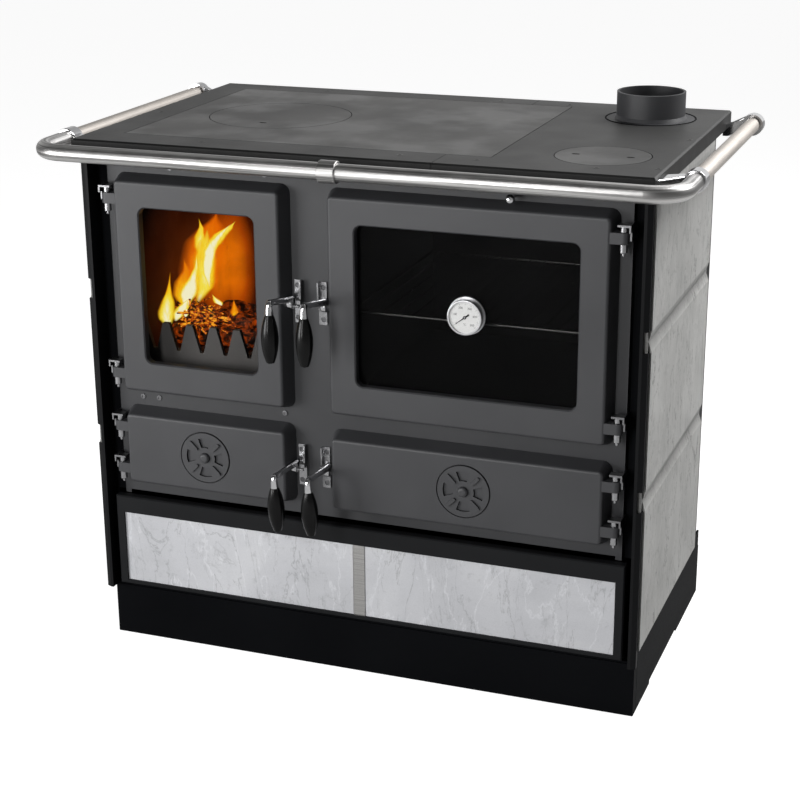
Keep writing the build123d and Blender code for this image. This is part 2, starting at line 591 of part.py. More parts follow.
def port(radius0, radius1, half_angle, middle):
    """Window of a rosette: a ring sector about the given direction, in degrees."""
    reach = radius1 * 1.5
    a0, a1 = radians(middle - half_angle), radians(middle + half_angle)
    wedge = make_face(Polyline((0, 0), (reach * cos(a0), reach * sin(a0)), (reach * cos(a1), reach * sin(a1)),
                               close=True))
    return (Circle(radius1) - Circle(radius0)) & wedge


def seat_rosette(blank, cx, cz):
    """Round recess with a drilled floor and a stud for the rosette."""
    face_y, floor_y = door_face_y, door_face_y - rosette_proud + rosette_t + door_gap
    seat_r = rosette_r + rosette_groove
    drum_y, drum_end = face_y + door_wall - 1, floor_y + seat_floor
    blank += rod(cx, drum_y, cz, seat_r + seat_margin, drum_end - drum_y, "y")
    blank -= rod(cx, face_y - 1, cz, seat_r, floor_y - face_y + 1, "y")
    for k in range(4):
        hole = port(port_r0, port_r1, port_half, 45 + 90 * k)
        blank -= extrude(front_view(cx, floor_y + seat_floor + 1, cz) * hole, seat_floor + 2)
    stud_y = face_y - rosette_proud - dome_h + dome_roof + door_gap
    blank += rod(cx, stud_y, cz, stub_r, floor_y - stud_y + 0.5, "y")
    return blank


def rosette(cx, cz):
    front_y = door_face_y - rosette_proud
    disc = Circle(rosette_r)
    for k in range(4):
        disc -= port(port_r0, port_r1, port_half, 90 * k)
    plane = front_view(cx, front_y + rosette_t, cz)
    body = extrude(plane * disc, rosette_t)
    body = chamfer(body.faces().sort_by(Axis.Y)[0].outer_wire().edges(), 0.8)
    for k in range(4):
        a = radians(45 + 90 * k)
        middle = (rib_r0 + rib_r1) / 2
        slot = Rot(0, 0, 45 + 90 * k) * SlotOverall(rib_r1 - rib_r0, rib_w)
        slot = Pos(middle * cos(a), middle * sin(a)) * slot
        body += extrude(front_view(cx, front_y + 0.5, cz) * slot, rib_h + 0.5)
    dome = rod(cx, front_y - dome_h, cz, dome_r, dome_h + 0.5, "y")
    body += fillet(dome.edges().filter_by(GeomType.CIRCLE).sort_by(Axis.Y)[0], dome_h * 0.8)
    bore_y = front_y - dome_h + dome_roof
    body -= rod(cx, bore_y, cz, stub_r + run_clear, front_y + rosette_t - bore_y + 1, "y")
    return body


def thermometer():
    x0, x1, z0, z1 = window("oven_door")
    cx, cz = (x0 + x1) / 2, (z0 + z1) / 2
    glass_y = door_face_y + glass_set
    bezel_y = glass_y - dial_out
    body = rod(cx, bezel_y, cz, dial_r, dial_out, "y")
    body = fillet(body.edges().sort_by(Axis.Y)[0], 1.2)
    body -= rod(cx, bezel_y - 1, cz, dial_r - bezel_w, dial_depth + 1, "y")
    body += rod(cx, glass_y - dial_foot_t, cz, dial_foot_r, dial_foot_t, "y")
    body += rod(cx, glass_y - 1, cz, stem_r, glass_t + stem_length, "y")
    dial_y = bezel_y + dial_depth
    body += rod(cx, dial_y - spindle_h, cz, spindle_r, spindle_h + 1, "y")
    parts["thermometer_body"] = body
    needle_y = dial_y - (spindle_h + needle_t) / 2
    tip = make_face(Polyline((needle_length, 0), (0, 0.9), (-needle_tail, 1.3), (-needle_tail, -1.3),
                             (0, -0.9), close=True))
    flat = (Rot(0, 0, needle_angle) * (tip + Circle(needle_hub_r))) - Circle(spindle_r + run_clear)
    parts["thermometer_needle"] = extrude(front_view(cx, needle_y + needle_t, cz) * flat, needle_t)
    return cx, cz


def doors():
    for name in sides:
        blank, cx, cz = door_blank(name)
        if name in borders:
            blank, pane = glaze(blank, name)
            if name == "oven_door":
                tx, tz = thermometer()
                pane -= rod(tx, back(0), tz, stem_r + stem_clear, top_depth, "y")
            parts[name + "_glass"] = pane
        else:
            blank = seat_rosette(blank, cx, cz)
            parts[name + "_rosette"] = rosette(cx, cz)
        parts[name] = add_stub(add_lugs(blank, name), name)
        parts[name + "_lever"], parts[name + "_grip"] = lever(name)


def hinge_fittings():
    """A bracket and a pin for each of the eight lugs."""
    brackets, pins = [], []
    y = back(hinge_set)
    for name, heights_of_lugs in lugs.items():
        sign = -1 if name in ("fire_door", "ash_door") else 1
        x = sign * hinge_x
        for z in heights_of_lugs:
            lug_top, lug_bottom = z + lug_height / 2, z - lug_height / 2
            ear_z = lug_top + lift_gap + collar_h
            low, high = sorted((x - sign * lug_r, sign * (plate_half_x + strap_t)))
            ear = block(low, high, y - bracket_w / 2, y + bracket_w / 2, ear_z, ear_z + ear_t)
            low, high = sorted((sign * plate_half_x, sign * (plate_half_x + strap_t)))
            strap = block(low, high, y, plate_back, z - strap_below, ear_z + ear_t)
            strap += block(low, high, y - bracket_w / 2, y, lug_top + lift_gap, ear_z + ear_t)
            brackets.append(ear + strap)
            pin = rod(x, y, lug_bottom - 1, pin_r, ear_z - lug_bottom + 1, "z")
            pin += rod(x, y, lug_top + lift_gap, collar_r, collar_h, "z")
            nut_z = lug_bottom - lift_gap - nut_h
            pin += chamfer(rod(x, y, nut_z, nut_r, nut_h, "z").edges().filter_by(GeomType.CIRCLE), 0.8)
            pin += rod(x, y, nut_z - tip_h + tip_r, tip_r, tip_h - tip_r + 1, "z")
            pin += Pos(x, y, nut_z - tip_h + tip_r) * Sphere(tip_r)
            pins.append(pin)
    parts["hinge_brackets"] = group(brackets)
    parts["hinge_pins"] = group(pins)


def keepers():
    """Plates on the pier: a nose over the lever's cam pin, and a fin above it."""
    pieces = []
    plate_y = back(plate_set)
    face_y = plate_y - keeper_t
    for name in sides:
        x, y, z, sign, edge = latch_place(name)
        kx = edge + sign * keeper_offset
        outer = kx + sign * keeper_w / 2
        low_z, high_z = z - keeper_h / 2, z + keeper_h / 2
        plate = block(kx - keeper_w / 2, kx + keeper_w / 2, face_y, plate_y, low_z, high_z)
        for dz in (-keeper_pitch / 2, keeper_pitch / 2):
            plate -= rod(kx - sign * fin_t / 2, face_y - 1, z + dz, keeper_hole_r, keeper_t + 2, "y")
        nose_low = z - cam_drop + cam_r + nose_clear
        low, high = sorted((x + sign * (hub_w / 2 + nose_side), outer))
        hook = block(low, high, face_y - nose_out, face_y, nose_low, nose_low + nose_up)
        hook = chamfer(hook.edges().filter_by(Axis.X).group_by(Axis.Z)[-1].sort_by(Axis.Y)[0], nose_out * 0.4)
        low, high = sorted((outer - sign * fin_t, outer))
        hook += block(low, high, face_y - fin_out, face_y, nose_low + nose_up / 2, high_z)
        pieces += [plate, hook]
    parts["latch_keepers"] = group(pieces)


# ---------------------------------------------------------------- drawer
def drawer():
    face_y = back(drawer_face_set)
    back_y = face_y + drawer_front_t
    front = block(-drawer_half_x, drawer_half_x, face_y, back_y, drawer_z0, drawer_z1)
    front = chamfer(front.faces().sort_by(Axis.Y)[0].edges(), drawer_bevel)
    tile_y = face_y + tile_step
    tile_back = tile_y + tile_t
    front -= block(-tile_half_x, tile_half_x, face_y - 1, tile_back, tile_z0, tile_z1)
    parts["drawer_front"] = front
    tile = block(divider_half, tile_half_x, tile_y, tile_back, tile_z0, tile_z1)
    parts["drawer_tiles"] = both_sides(tile)
    strip_y = tile_y - divider_out
    strip = block(-divider_half, divider_half, strip_y, tile_back, tile_z0, tile_z1)
    long_edges = strip.faces().sort_by(Axis.Y)[0].edges().filter_by(Axis.Z)
    parts["drawer_divider"] = chamfer(long_edges, divider_edge, divider_out * 0.9)
    z0 = drawer_z0 + box_lift
    end_y = back_y + box_depth
    parts["drawer_box"] = shell(-box_half_x, box_half_x, back_y, end_y, z0, z0 + box_height, box_t, open_top=True)
    ledge_z = z0 - runner_gap
    upright_x = box_half_x + runner_side_gap
    start, end = back(tray_front_set) + sheet, back(back_set)
    runner = block(upright_x - runner_w, upright_x, start, end, ledge_z - runner_t, ledge_z)
    runner += block(upright_x, upright_x + runner_t, start, end, floor_top, ledge_z + runner_up)
    parts["drawer_runners"] = both_sides(runner)


# ---------------------------------------------------------------- towel rail
def tube(path, radius, wall):
    start = path.position_at(0)
    section = Plane(origin=start, z_dir=path.tangent_at(0)) * (Circle(radius) - Circle(radius - wall))
    return sweep(section, path=path)


def towel_rail():
    y, z, x = back(-rail_out), top_height - rail_drop, rail_half_x
    joint_y, bend = back(front_joint_set), rail_bend_r
    right = [(x, joint_y, z), (x, y + bend, z), (x - bend, y, z)]
    left = [(-px, py, pz) for px, py, pz in right]
    corner_right = RadiusArc(right[1], right[2], -bend)
    corner_left = RadiusArc(left[2], left[1], -bend)
    if abs(corner_right.position_at(0.5).X) < x - bend / 2 + bend * 0.1:
        corner_right = RadiusArc(right[1], right[2], bend)
        corner_left = RadiusArc(left[2], left[1], bend)
    path = Wire([Line(right[0], right[1]), corner_right, Line(right[2], left[2]), corner_left,
                 Line(left[1], left[0])])
    parts["rail_front_tube"] = tube(path, rail_r, rail_wall)
    sleeve = rod(sleeve_x - sleeve_half, y, z, sleeve_r, 2 * sleeve_half, "x")
    sleeve = fillet(sleeve.edges().filter_by(GeomType.CIRCLE), 2.0)
    bore = rod(sleeve_x - sleeve_half - 1, y, z, rail_r, 2 * sleeve_half + 2, "x")
    parts["rail_joint_sleeve"] = sleeve - bore

    cup_y = back(cup_set)
    side = Wire([Line((x, joint_y, z), (x, cup_y + cup_seat, z))])
    parts["rail_side_tubes"] = both_sides(tube(side, side_tube_r, rail_wall))

    half = half_top
    socket = rod(x, joint_y - socket_half, z, socket_r, 2 * socket_half, "y")
    socket = fillet(socket.edges().filter_by(GeomType.CIRCLE), 1.5)
    neck_x = x - socket_r * 0.6
    arm_plan = make_face(Polyline((half, back(arm_front_set)), (neck_x, joint_y - socket_half + 2),
                                  (neck_x, joint_y + socket_half - 2), (half, back(arm_back_set)), close=True))
    arm = extrude(plan_view(z - arm_t / 2) * arm_plan, arm_t)
    level = arm.edges().filter_by(Axis.Z, reverse=True)
    arm = fillet(level.filter_by(lambda e: e.center().X > half + 2), 3.0)
    bracket = socket + arm
    bracket -= rod(x, joint_y - 2 * socket_half, z, rail_r, 2 * socket_half, "y")
    bracket -= rod(x, joint_y - 0.01, z, side_tube_r, socket_half + 2, "y")
    parts["rail_front_brackets"] = both_sides(bracket)

    cup = rod(x, cup_y, z, cup_r, cup_length, "y")
    cup = fillet(cup.edges().filter_by(GeomType.CIRCLE).sort_by(Axis.Y)[-1], cup_soft)
    neck_x, web_y = x - cup_r * 0.8, cup_y + cup_length / 2
    top_in, top_out = rim_z + web_over, z + cup_r - 1.5
    low_z = rim_z - web_under
    web_plan = make_face(Polyline((half, rim_z), (half - web_hook, rim_z), (half - web_hook, low_z),
                                  (half + web_out, low_z), (neck_x, z - cup_r * 0.7), (x - 3.0, z),
                                  (neck_x + 4.0, top_out - 2.0), (half + web_out, top_in + 2.0),
                                  (half, top_in), close=True))
    web = extrude(front_view(0, web_y + web_t / 2, 0) * web_plan, web_t)
    web = fillet(web.edges().filter_by(lambda e: e.center().X > half + web_out / 2 and
                                       abs(e.center().Y - web_y) > web_t / 2 - 0.1), web_fillet)
    cup += web
    cup -= rod(x, cup_y - 1, z, cup_mouth_r, cup_mouth + 1, "y")
    cup -= rod(x, cup_y - 1, z, side_tube_r, cup_seat + 1, "y")
    parts["rail_rear_brackets"] = both_sides(cup)


# ---------------------------------------------------------------- fire side
def fire_side():
    y0 = plate_back + sheet
    rear = back(casing_back_set)
    casing = block(casing_x0, casing_x1, y0, rear, deck_top, casing_top)
    parts["firebox_casing"] = casing - block(casing_x0 + sheet, casing_x1 - sheet, y0 - 1, rear - sheet,
                                             deck_top - 1, casing_top + 1)
    x0, x1, inner_rear = casing_x0 + sheet, casing_x1 - sheet, rear - sheet
    bricks = [block(x0, x0 + brick_t, y0, inner_rear - brick_t, grate_top, brick_top),
              block(x1 - brick_t, x1, y0, inner_rear - brick_t, grate_top, brick_top),
              block(x0, x1, inner_rear - brick_t, inner_rear, grate_top, brick_top)]
    parts["firebricks"] = group(bricks)

    gy0, gy1 = back(grate_front_set), back(grate_back_set)
    floor_z = grate_top - grate_frame_t
    frame = block(x0, x1, y0, inner_rear, floor_z, grate_top)
    frame -= block(grate_x0, grate_x1, gy0, gy1, grate_top - grate_t, grate_top + 1)
    step = grate_step
    frame -= block(grate_x0 + step, grate_x1 - step, gy0 + step, gy1 - step, floor_z - 1, grate_top)
    parts["grate_frame"] = frame
    gap = grate_gap
    grate = block(grate_x0 + gap, grate_x1 - gap, gy0 + gap, gy1 - gap, grate_top - grate_t, grate_top)
    pitch = (grate_x1 - grate_x0 - 2 * step) / slot_count
    slot_length = gy1 - gy0 - 4 * step
    for k in range(slot_count):
        sx = grate_x0 + step + pitch * (k + 0.5)
        slot = Rot(0, 0, 90) * SlotOverall(slot_length, slot_w)
        grate -= extrude(Plane(origin=(sx, (gy0 + gy1) / 2, grate_top - grate_t - 1)) * slot, grate_t + 2)
    parts["fire_grate"] = grate

    ox0, ox1, _, _ = openings["fire_door"]
    middle = (ox0 + ox1) / 2
    outline = [(-tooth_pitch * teeth / 2 - tooth_flat / 2, grate_top)]
    for k in range(teeth + 1):
        centre = tooth_pitch * (k - teeth / 2)
        if k:
            outline += [(centre - tooth_pitch / 2 - valley_flat / 2, retainer_valley),
                        (centre - tooth_pitch / 2 + valley_flat / 2, retainer_valley)]
        outline += [(centre - tooth_flat / 2, retainer_top), (centre + tooth_flat / 2, retainer_top)]
    outline.append((tooth_pitch * teeth / 2 + tooth_flat / 2, grate_top))
    face = Pos(0, 0) * make_face(Polyline(*outline, close=True))
    parts["log_retainer"] = extrude(front_view(middle, back(retainer_set) + retainer_t, 0) * face, retainer_t)

    py0, py1 = back(pan_front_set), back(pan_back_set)
    pan = shell(pan_x0, pan_x1, py0, py1, deck_top, deck_top + pan_height, pan_t, open_top=True)
    grip_x, grip_z = (pan_x0 + pan_x1) / 2, deck_top + pan_height - pan_grip_t
    pan += block(grip_x - pan_grip_w / 2, grip_x + pan_grip_w / 2, py0 - pan_grip_out, py0 + pan_t, grip_z,
                 grip_z + pan_grip_t)
    parts["ash_pan"] = pan


# ---------------------------------------------------------------- oven side
def oven_side():
    x0, x1, z0, z1 = openings["oven_door"]
    x0, x1, z0, z1 = x0 - sheet, x1 + sheet, z0 - sheet, z1 + sheet
    rear = back(oven_back_set)
    box = shell(x0, x1, plate_back, rear, z0, z1, sheet, open_front=True)
    front, end = back(rack_front_set), back(rack_back_set)
    rib_top = rack_z - rack_r
    for edge in (x0 + sheet, x1 - sheet - rail_rib):
        box += block(edge, edge + rail_rib, front, end, rib_top - rail_rib, rib_top)
    guide_y = back(guide_set)
    box += block(damper_x - guide_w / 2, damper_x + guide_w / 2, guide_y, guide_y + guide_t, z1,
                 damper_z + guide_w / 2)
    box -= rod(damper_x, guide_y - 1, damper_z, damper_rod_r + run_clear, guide_t + 2, "y")
    parts["oven_box"] = box

    rx0, rx1 = x0 + sheet + rack_r + 1, x1 - sheet - rack_r - 1
    ry0, ry1 = front + rack_margin, end - rack_margin
    rack = rod(rx0, ry0, rack_z, rack_r, rx1 - rx0, "x") + rod(rx0, ry1, rack_z, rack_r, rx1 - rx0, "x")
    for rx in (rx0, rx1):
        rack += rod(rx, ry0, rack_z, rack_r, ry1 - ry0, "y")
    for k in range(1, rack_bars + 1):
        rack += rod(rx0 + (rx1 - rx0) * k / (rack_bars + 1), ry0, rack_z, rack_bar_r, ry1 - ry0, "y")
    parts["oven_rack"] = rack

    sx0, sx1, _, _ = openings["storage_door"]
    parts["storage_box"] = shell(sx0 - sheet, sx1 + sheet, plate_back + sheet, rear, deck_top, storage_roof,
                                 sheet, open_front=True)

    flap_z = z1 + flap_gap
    end_y = back(damper_rod_end_set)
    shaft = rod(damper_x, back(knob_set), damper_z, damper_rod_r, damper_rod_end_set - knob_set, "y")
    parts["damper_rod"] = shaft + Pos(damper_x, back(knob_set), damper_z) * Sphere(knob_r)
    flap = block(damper_x - flap_w / 2, damper_x + flap_w / 2, end_y, end_y + flap_d, flap_z, flap_z + flap_t)
    flap += block(damper_x - guide_w / 2, damper_x + guide_w / 2, end_y, end_y + flap_t, flap_z,
                  damper_z + guide_w / 2)
    parts["damper_flap"] = flap


plinth()
body_sheets()
posts()
slabs()
front_plate()
hob()
doors()
hinge_fittings()
keepers()
drawer()
towel_rail()
fire_side()
oven_side()

os.makedirs("parts", exist_ok=True)
for node, shape in parts.items():
    export_step(shape, f"parts/{node}.step")
    volume = sum(solid.volume for solid in shape.solids()) / 1000
    print(f"{node:24s} solids {len(shape.solids())}  volume {volume:.1f} cm3")
print(len(parts), "nodes")
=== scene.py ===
# %% [markdown]
# # A wood cookstove, cell by cell
# The stove is a steel body faced with stone, with a cast front, a cast hob and a steel
# towel rail. Every casting, sheet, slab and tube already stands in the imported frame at
# its real size, in metres, with the floor at z = 0 and the front towards -Y. The cells
# below add what a frame lacks: surfaces, small fasteners, the dial, the fire and light.

# %% The frame
import math

import bmesh
import bpy
from mathutils import Euler, Matrix, Vector


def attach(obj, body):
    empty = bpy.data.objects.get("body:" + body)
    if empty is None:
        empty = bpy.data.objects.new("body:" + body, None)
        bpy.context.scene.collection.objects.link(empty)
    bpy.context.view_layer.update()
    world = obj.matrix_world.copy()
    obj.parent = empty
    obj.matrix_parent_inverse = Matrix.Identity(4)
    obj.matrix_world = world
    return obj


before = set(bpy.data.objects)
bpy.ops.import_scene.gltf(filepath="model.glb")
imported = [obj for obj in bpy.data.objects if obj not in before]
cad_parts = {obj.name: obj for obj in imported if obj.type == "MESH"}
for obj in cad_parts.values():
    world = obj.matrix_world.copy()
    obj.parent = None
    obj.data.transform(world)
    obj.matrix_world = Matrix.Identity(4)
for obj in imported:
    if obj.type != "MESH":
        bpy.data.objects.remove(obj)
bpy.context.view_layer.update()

# %% [markdown]
# ## Small helpers for surfaces
# Every finish on the stove is a Principled shader fed by noise. Noise can read three
# kinds of coordinates: generated, UV or object. Object coordinates are used throughout,
# because every node sits at the origin, so they are metres measured from the floor and
# one pattern runs on from one casting to the next at the same scale.

# %% A finish and its sockets
def new_finish(name):
    """A material, its node tree and its object coordinates."""
    finish = bpy.data.materials.new(name)
    finish.use_nodes = True
    place = finish.node_tree.nodes.new("ShaderNodeTexCoord").outputs["Object"]
    return finish, finish.node_tree, place


def add(tree, kind, **settings):
    node = tree.nodes.new("ShaderNode" + kind)
    for key, value in settings.items():
        setattr(node, key, value)
    return node


def plug(tree, value, socket):
    """A link where the value comes out of another node, else a fixed value."""
    if isinstance(value, bpy.types.NodeSocket):
        tree.links.new(value, socket)
    else:
        socket.default_value = value


def feed(tree, values):
    """Links and fixed values for the Principled shader, by the names of its sockets."""
    shader = tree.nodes["Principled BSDF"]
    for name, value in values.items():
        plug(tree, value, shader.inputs[name])

# %% [markdown]
# A node tree is arithmetic drawn as boxes. Written out box by box it gets long, so each
# helper adds one kind of box and hands back the socket that comes out of it. A finish then
# reads from the inside out: coordinates, noise, colours, shader.

# %% Arithmetic
def maths(tree, operation, *values):
    node = add(tree, "Math", operation=operation)
    for value, socket in zip(values, node.inputs):
        plug(tree, value, socket)
    return node.outputs[0]


def axes(tree, place):
    """The X, Y and Z of a place or a direction."""
    split = add(tree, "SeparateXYZ")
    tree.links.new(place, split.inputs[0])
    return split.outputs


def between(tree, factor, low, high, start=0.0, end=1.0, ease="LINEAR"):
    """A factor that goes from start to end turned into a number from low to high."""
    node = add(tree, "MapRange", interpolation_type=ease)
    for name, value in (("From Min", start), ("From Max", end), ("To Min", low), ("To Max", high)):
        node.inputs[name].default_value = value
    tree.links.new(factor, node.inputs["Value"])
    return node.outputs["Result"]


# %% Noise, colour and relief
def grain(tree, place, per_metre, detail=4.0, rough=0.5, stretch=(1, 1, 1), turn=(0, 0, 0),
          twist=0.0):
    """Noise with a grain size given as waves in a metre; stretch squeezes it along an axis."""
    mapping = add(tree, "Mapping")
    mapping.inputs["Scale"].default_value = stretch
    mapping.inputs["Rotation"].default_value = [math.radians(a) for a in turn]
    noise = add(tree, "TexNoise")
    for name, value in (("Scale", per_metre), ("Detail", detail), ("Roughness", rough),
                        ("Distortion", twist)):
        noise.inputs[name].default_value = value
    tree.links.new(place, mapping.inputs["Vector"])
    tree.links.new(mapping.outputs["Vector"], noise.inputs["Vector"])
    return noise.outputs["Fac"]


def ramp(tree, factor, stops):
    """Colours or greys laid along a factor; stops is a list of (position, colour or grey)."""
    node = add(tree, "ValToRGB")
    marks = node.color_ramp.elements
    marks.remove(marks[1])
    marks[0].position = stops[0][0]
    for number, (position, value) in enumerate(stops):
        mark = marks.new(position) if number else marks[0]
        colour = (value,) * 3 if isinstance(value, (int, float)) else value
        mark.color = (*colour, 1.0)
    tree.links.new(factor, node.inputs["Fac"])
    return node.outputs["Color"]


def layer(tree, factor, below, above, mode="MIX"):
    """One colour laid over another, by a factor that may be a number."""
    node = add(tree, "Mix", data_type="RGBA", blend_type=mode)
    for name, value in (("Factor", factor), ("A", below), ("B", above)):
        socket = next(s for s in node.inputs if s.name == name and s.enabled)
        plug(tree, (*value, 1.0) if isinstance(value, tuple) else value, socket)
    return next(s for s in node.outputs if s.enabled)


def darken(tree, colour, *shades):
    """A colour multiplied by each of the greys."""
    for shade in shades:
        colour = layer(tree, 1.0, colour, shade, "MULTIPLY")
    return colour


def relief(tree, height, depth, below=None):
    """A bump of the given depth in metres, laid over another bump if there is one."""
    node = add(tree, "Bump")
    node.inputs["Distance"].default_value = depth
    tree.links.new(height, node.inputs["Height"])
    if below:
        tree.links.new(below, node.inputs["Normal"])
    return node.outputs["Normal"]

# %% [markdown]
# ## Painted castings
# The doors and the plate behind them are sand castings under satin stove paint. Casting
# leaves a skin like fine sandpaper, so a bump of well under a tenth of a millimetre does
# more than colour does. A single grey would look like plastic: slow clouds of tone and a
# roughness that follows the grain keep it iron. The paint itself is nearly black, and the
# grey that the eye sees on it is half reflection, so the specular level is set per finish.
# The loose castings of the hob are rubbed by pans, in patches. The flanks of the hob's
# castings and their seams get painted shade: everything a little below the top is darker.
# The rosettes have painted shade on the walls of their windows.

# %% Cast iron
SEAM_SHADE = 0.20                                    # how much of the tone is left in the painted shade
HOB_SEAMS = ("Z", 0.84998, 0.84978)            # axis, last unshaded place, first place in painted shade
ROSETTE_WINDOWS = ("Y", -0.23710, -0.23680)


def soot_past(tree, place, axis, unshaded, shaded):
    """Painted shade: white up to the unshaded value of one coordinate, dark grey from the shaded
    value on.
    """
    share = between(tree, axes(tree, place)[axis], 0.0, 1.0, shaded, unshaded)
    return ramp(tree, share, [(0.0, SEAM_SHADE), (1.0, 1.0)])


def cast_iron(name, dark, light, rough=0.46, skin=0.00006, grain_size=1500, gloss=0.4,
              soot_and_shade=None, rubbed=0.0):
    """Gloss is the specular level, rubbed how much the roughness differs between patches."""
    finish, tree, place = new_finish(name)
    clouds = grain(tree, place, 6, detail=3)
    sand = grain(tree, place, grain_size, detail=2, rough=0.6)
    flecks = ramp(tree, sand, [(0.3, 0.86), (0.7, 1.0)])
    # painted shade in seams and on recess walls, past a given coordinate
    shades = [flecks, soot_past(tree, place, *soot_and_shade)] if soot_and_shade else [flecks]
    patches = ramp(tree, grain(tree, place, 9, detail=4), [(0.40, 1.0), (0.60, 0.0)])
    slow = relief(tree, grain(tree, place, 60, detail=2), 0.00012)
    feed(tree, {
        "Base Color": darken(tree, ramp(tree, clouds, [(0.35, dark), (0.65, light)]), *shades),
        "Roughness": maths(tree, "ADD", between(tree, sand, rough - 0.05, rough + 0.09),
                           between(tree, patches, -rubbed, rubbed)),
        "Normal": relief(tree, sand, skin, slow),
        "Specular IOR Level": gloss})
    return finish


front_paint = cast_iron("front_paint", (0.036, 0.0365, 0.0395), (0.045, 0.0455, 0.049), gloss=0.42)
# The plate behind the doors takes a darker copy of the door paint: painted shade.
shaded_plate_paint = cast_iron("shaded_plate_paint", (0.027, 0.0275, 0.030), (0.034, 0.0345, 0.037), gloss=0.38)
# The rosettes get painted shade on the walls of their windows.
rosette_paint = cast_iron("rosette_paint", (0.038, 0.0385, 0.0415), (0.048, 0.0485, 0.052),
                          gloss=0.42, soot_and_shade=ROSETTE_WINDOWS)
# The hob castings get painted shade on their flanks and in their seams.
hob_iron = cast_iron("hob_iron", (0.019, 0.019, 0.0185), (0.028, 0.028, 0.027),
                     grain_size=1100, gloss=0.40, soot_and_shade=HOB_SEAMS, rubbed=0.03)
plate_iron = cast_iron("plate_iron", (0.026, 0.0255, 0.0245), (0.056, 0.055, 0.053), 0.42,
                       0.00005, 1100, gloss=0.56, soot_and_shade=HOB_SEAMS, rubbed=0.07)
grate_iron = cast_iron("grate_iron", (0.055, 0.052, 0.050), (0.085, 0.080, 0.076), 0.62,
                       0.00012, 900, gloss=0.3)
print("castings:", *(m.name for m in (front_paint, shaded_plate_paint, rosette_paint, hob_iron,
                                      plate_iron, grate_iron)))

# %% [markdown]
# ## Folded sheet
# Plinth, posts and the inner boxes are folded steel under a smoother, darker paint. Here
# the relief is a faint orange peel, a few millimetres across, as a spray gun leaves it.
# Seen at a low angle any sheet mirrors the bright room, and the specular level decides how
# much: the plinth's is close to nothing, so that it stays black from every side.

# %% Painted sheet
def painted_sheet(name, dark, light, rough, gloss):
    finish, tree, place = new_finish(name)
    peel = grain(tree, place, 380, detail=2)
    clouds = grain(tree, place, 4, detail=4)
    feed(tree, {
        "Base Color": ramp(tree, clouds, [(0.3, dark), (0.7, light)]),
        "Roughness": between(tree, peel, rough - 0.04, rough + 0.06),
        "Normal": relief(tree, peel, 0.00005),
        "Specular IOR Level": gloss})
    return finish


black_sheet = painted_sheet("black_sheet", (0.0032, 0.0034, 0.0040), (0.0048, 0.0051, 0.0059),
                            0.45, 0.012)
drawer_paint = painted_sheet("drawer_paint", (0.006, 0.0063, 0.007), (0.009, 0.0095, 0.0105),
                             0.48, 0.12)
post_paint = painted_sheet("post_paint", (0.004, 0.0042, 0.0047), (0.006, 0.0063, 0.0070),
                           0.46, 0.10)
oven_enamel = painted_sheet("oven_enamel", (0.006, 0.006, 0.007), (0.011, 0.011, 0.012), 0.3, 0.4)
hot_sheet = painted_sheet("hot_sheet", (0.010, 0.009, 0.008), (0.020, 0.018, 0.016), 0.6, 0.2)
print("sheets:", *(m.name for m in (black_sheet, drawer_paint, post_paint, oven_enamel, hot_sheet)))

# %% [markdown]
# ## Soapstone
# The side slabs and the drawer tiles are honed soapstone: grey, softly clouded, with thin
# veins that wander in one direction. Clouds come from twisted noise. A vein is the narrow
# band where a second noise passes through its middle value, which gives long thin lines
# that fork, as in the stone, where a wave texture gives stripes. On the slabs the lines
# that show are dark hairline cracks, on the tiles they are pale, so each gets its own. The
# bevels where two slabs meet get painted shade: the stone darkens with its depth below
# the face.

# %% Soapstone
SLAB_JOINTS = (0.4544, 0.4496)                 # a slab's face and the bottom of its bevels


def dust_in_joints(tree, place, face, deep):
    """Painted shade: white on a slab's face, grey down in its bevels; both measured from the
    stove's middle.
    """
    out = maths(tree, "ABSOLUTE", axes(tree, place)["X"])
    share = between(tree, out, 0.0, 1.0, deep, face)
    return ramp(tree, share, [(0.0, 0.42), (0.25, 0.62), (0.80, 0.86), (1.0, 1.0)])


def soapstone(name, dark, middle, pale, vein_turn, pale_vein, dark_vein, fleck, joints=None):
    finish, tree, place = new_finish(name)
    clouds = grain(tree, place, 7, detail=6, rough=0.55, twist=0.6)
    body = ramp(tree, clouds, [(0.30, dark), (0.50, middle), (0.70, pale)])
    streaks = grain(tree, place, 9, detail=8, rough=0.6, stretch=(1, 1, 0.35), turn=vein_turn,
                    twist=0.5)
    veins = ramp(tree, streaks, [(0.488, 0.0), (0.5, pale_vein), (0.512, 0.0)])
    veined = layer(tree, veins, body, tuple(1.25 * c for c in pale))
    threads = grain(tree, place, 13, detail=9, rough=0.62, stretch=(1, 1, 0.3), turn=vein_turn,
                    twist=0.7)
    cracks = ramp(tree, threads, [(0.452, 0.0), (0.459, dark_vein), (0.466, 0.0),
                                  (0.548, 0.0), (0.553, 0.7 * dark_vein), (0.558, 0.0)])
    cracked = layer(tree, cracks, veined, tuple(0.36 * c for c in dark))
    smudges = ramp(tree, grain(tree, place, 70, detail=5, rough=0.7), [(0.30, fleck), (0.42, 0.0)])
    smudged = layer(tree, smudges, cracked, tuple(0.6 * c for c in dark))
    shades = [ramp(tree, grain(tree, place, 700, detail=3, rough=0.7), [(0.3, 0.92), (0.7, 1.03)])]
    if joints:
        # painted shade down in the slab joints
        shades.append(dust_in_joints(tree, place, *joints))
    feed(tree, {
        "Base Color": darken(tree, smudged, *shades),
        "Roughness": between(tree, clouds, 0.42, 0.58),
        "Normal": relief(tree, grain(tree, place, 450, detail=3), 0.00005),
        "Specular IOR Level": 0.3})
    return finish


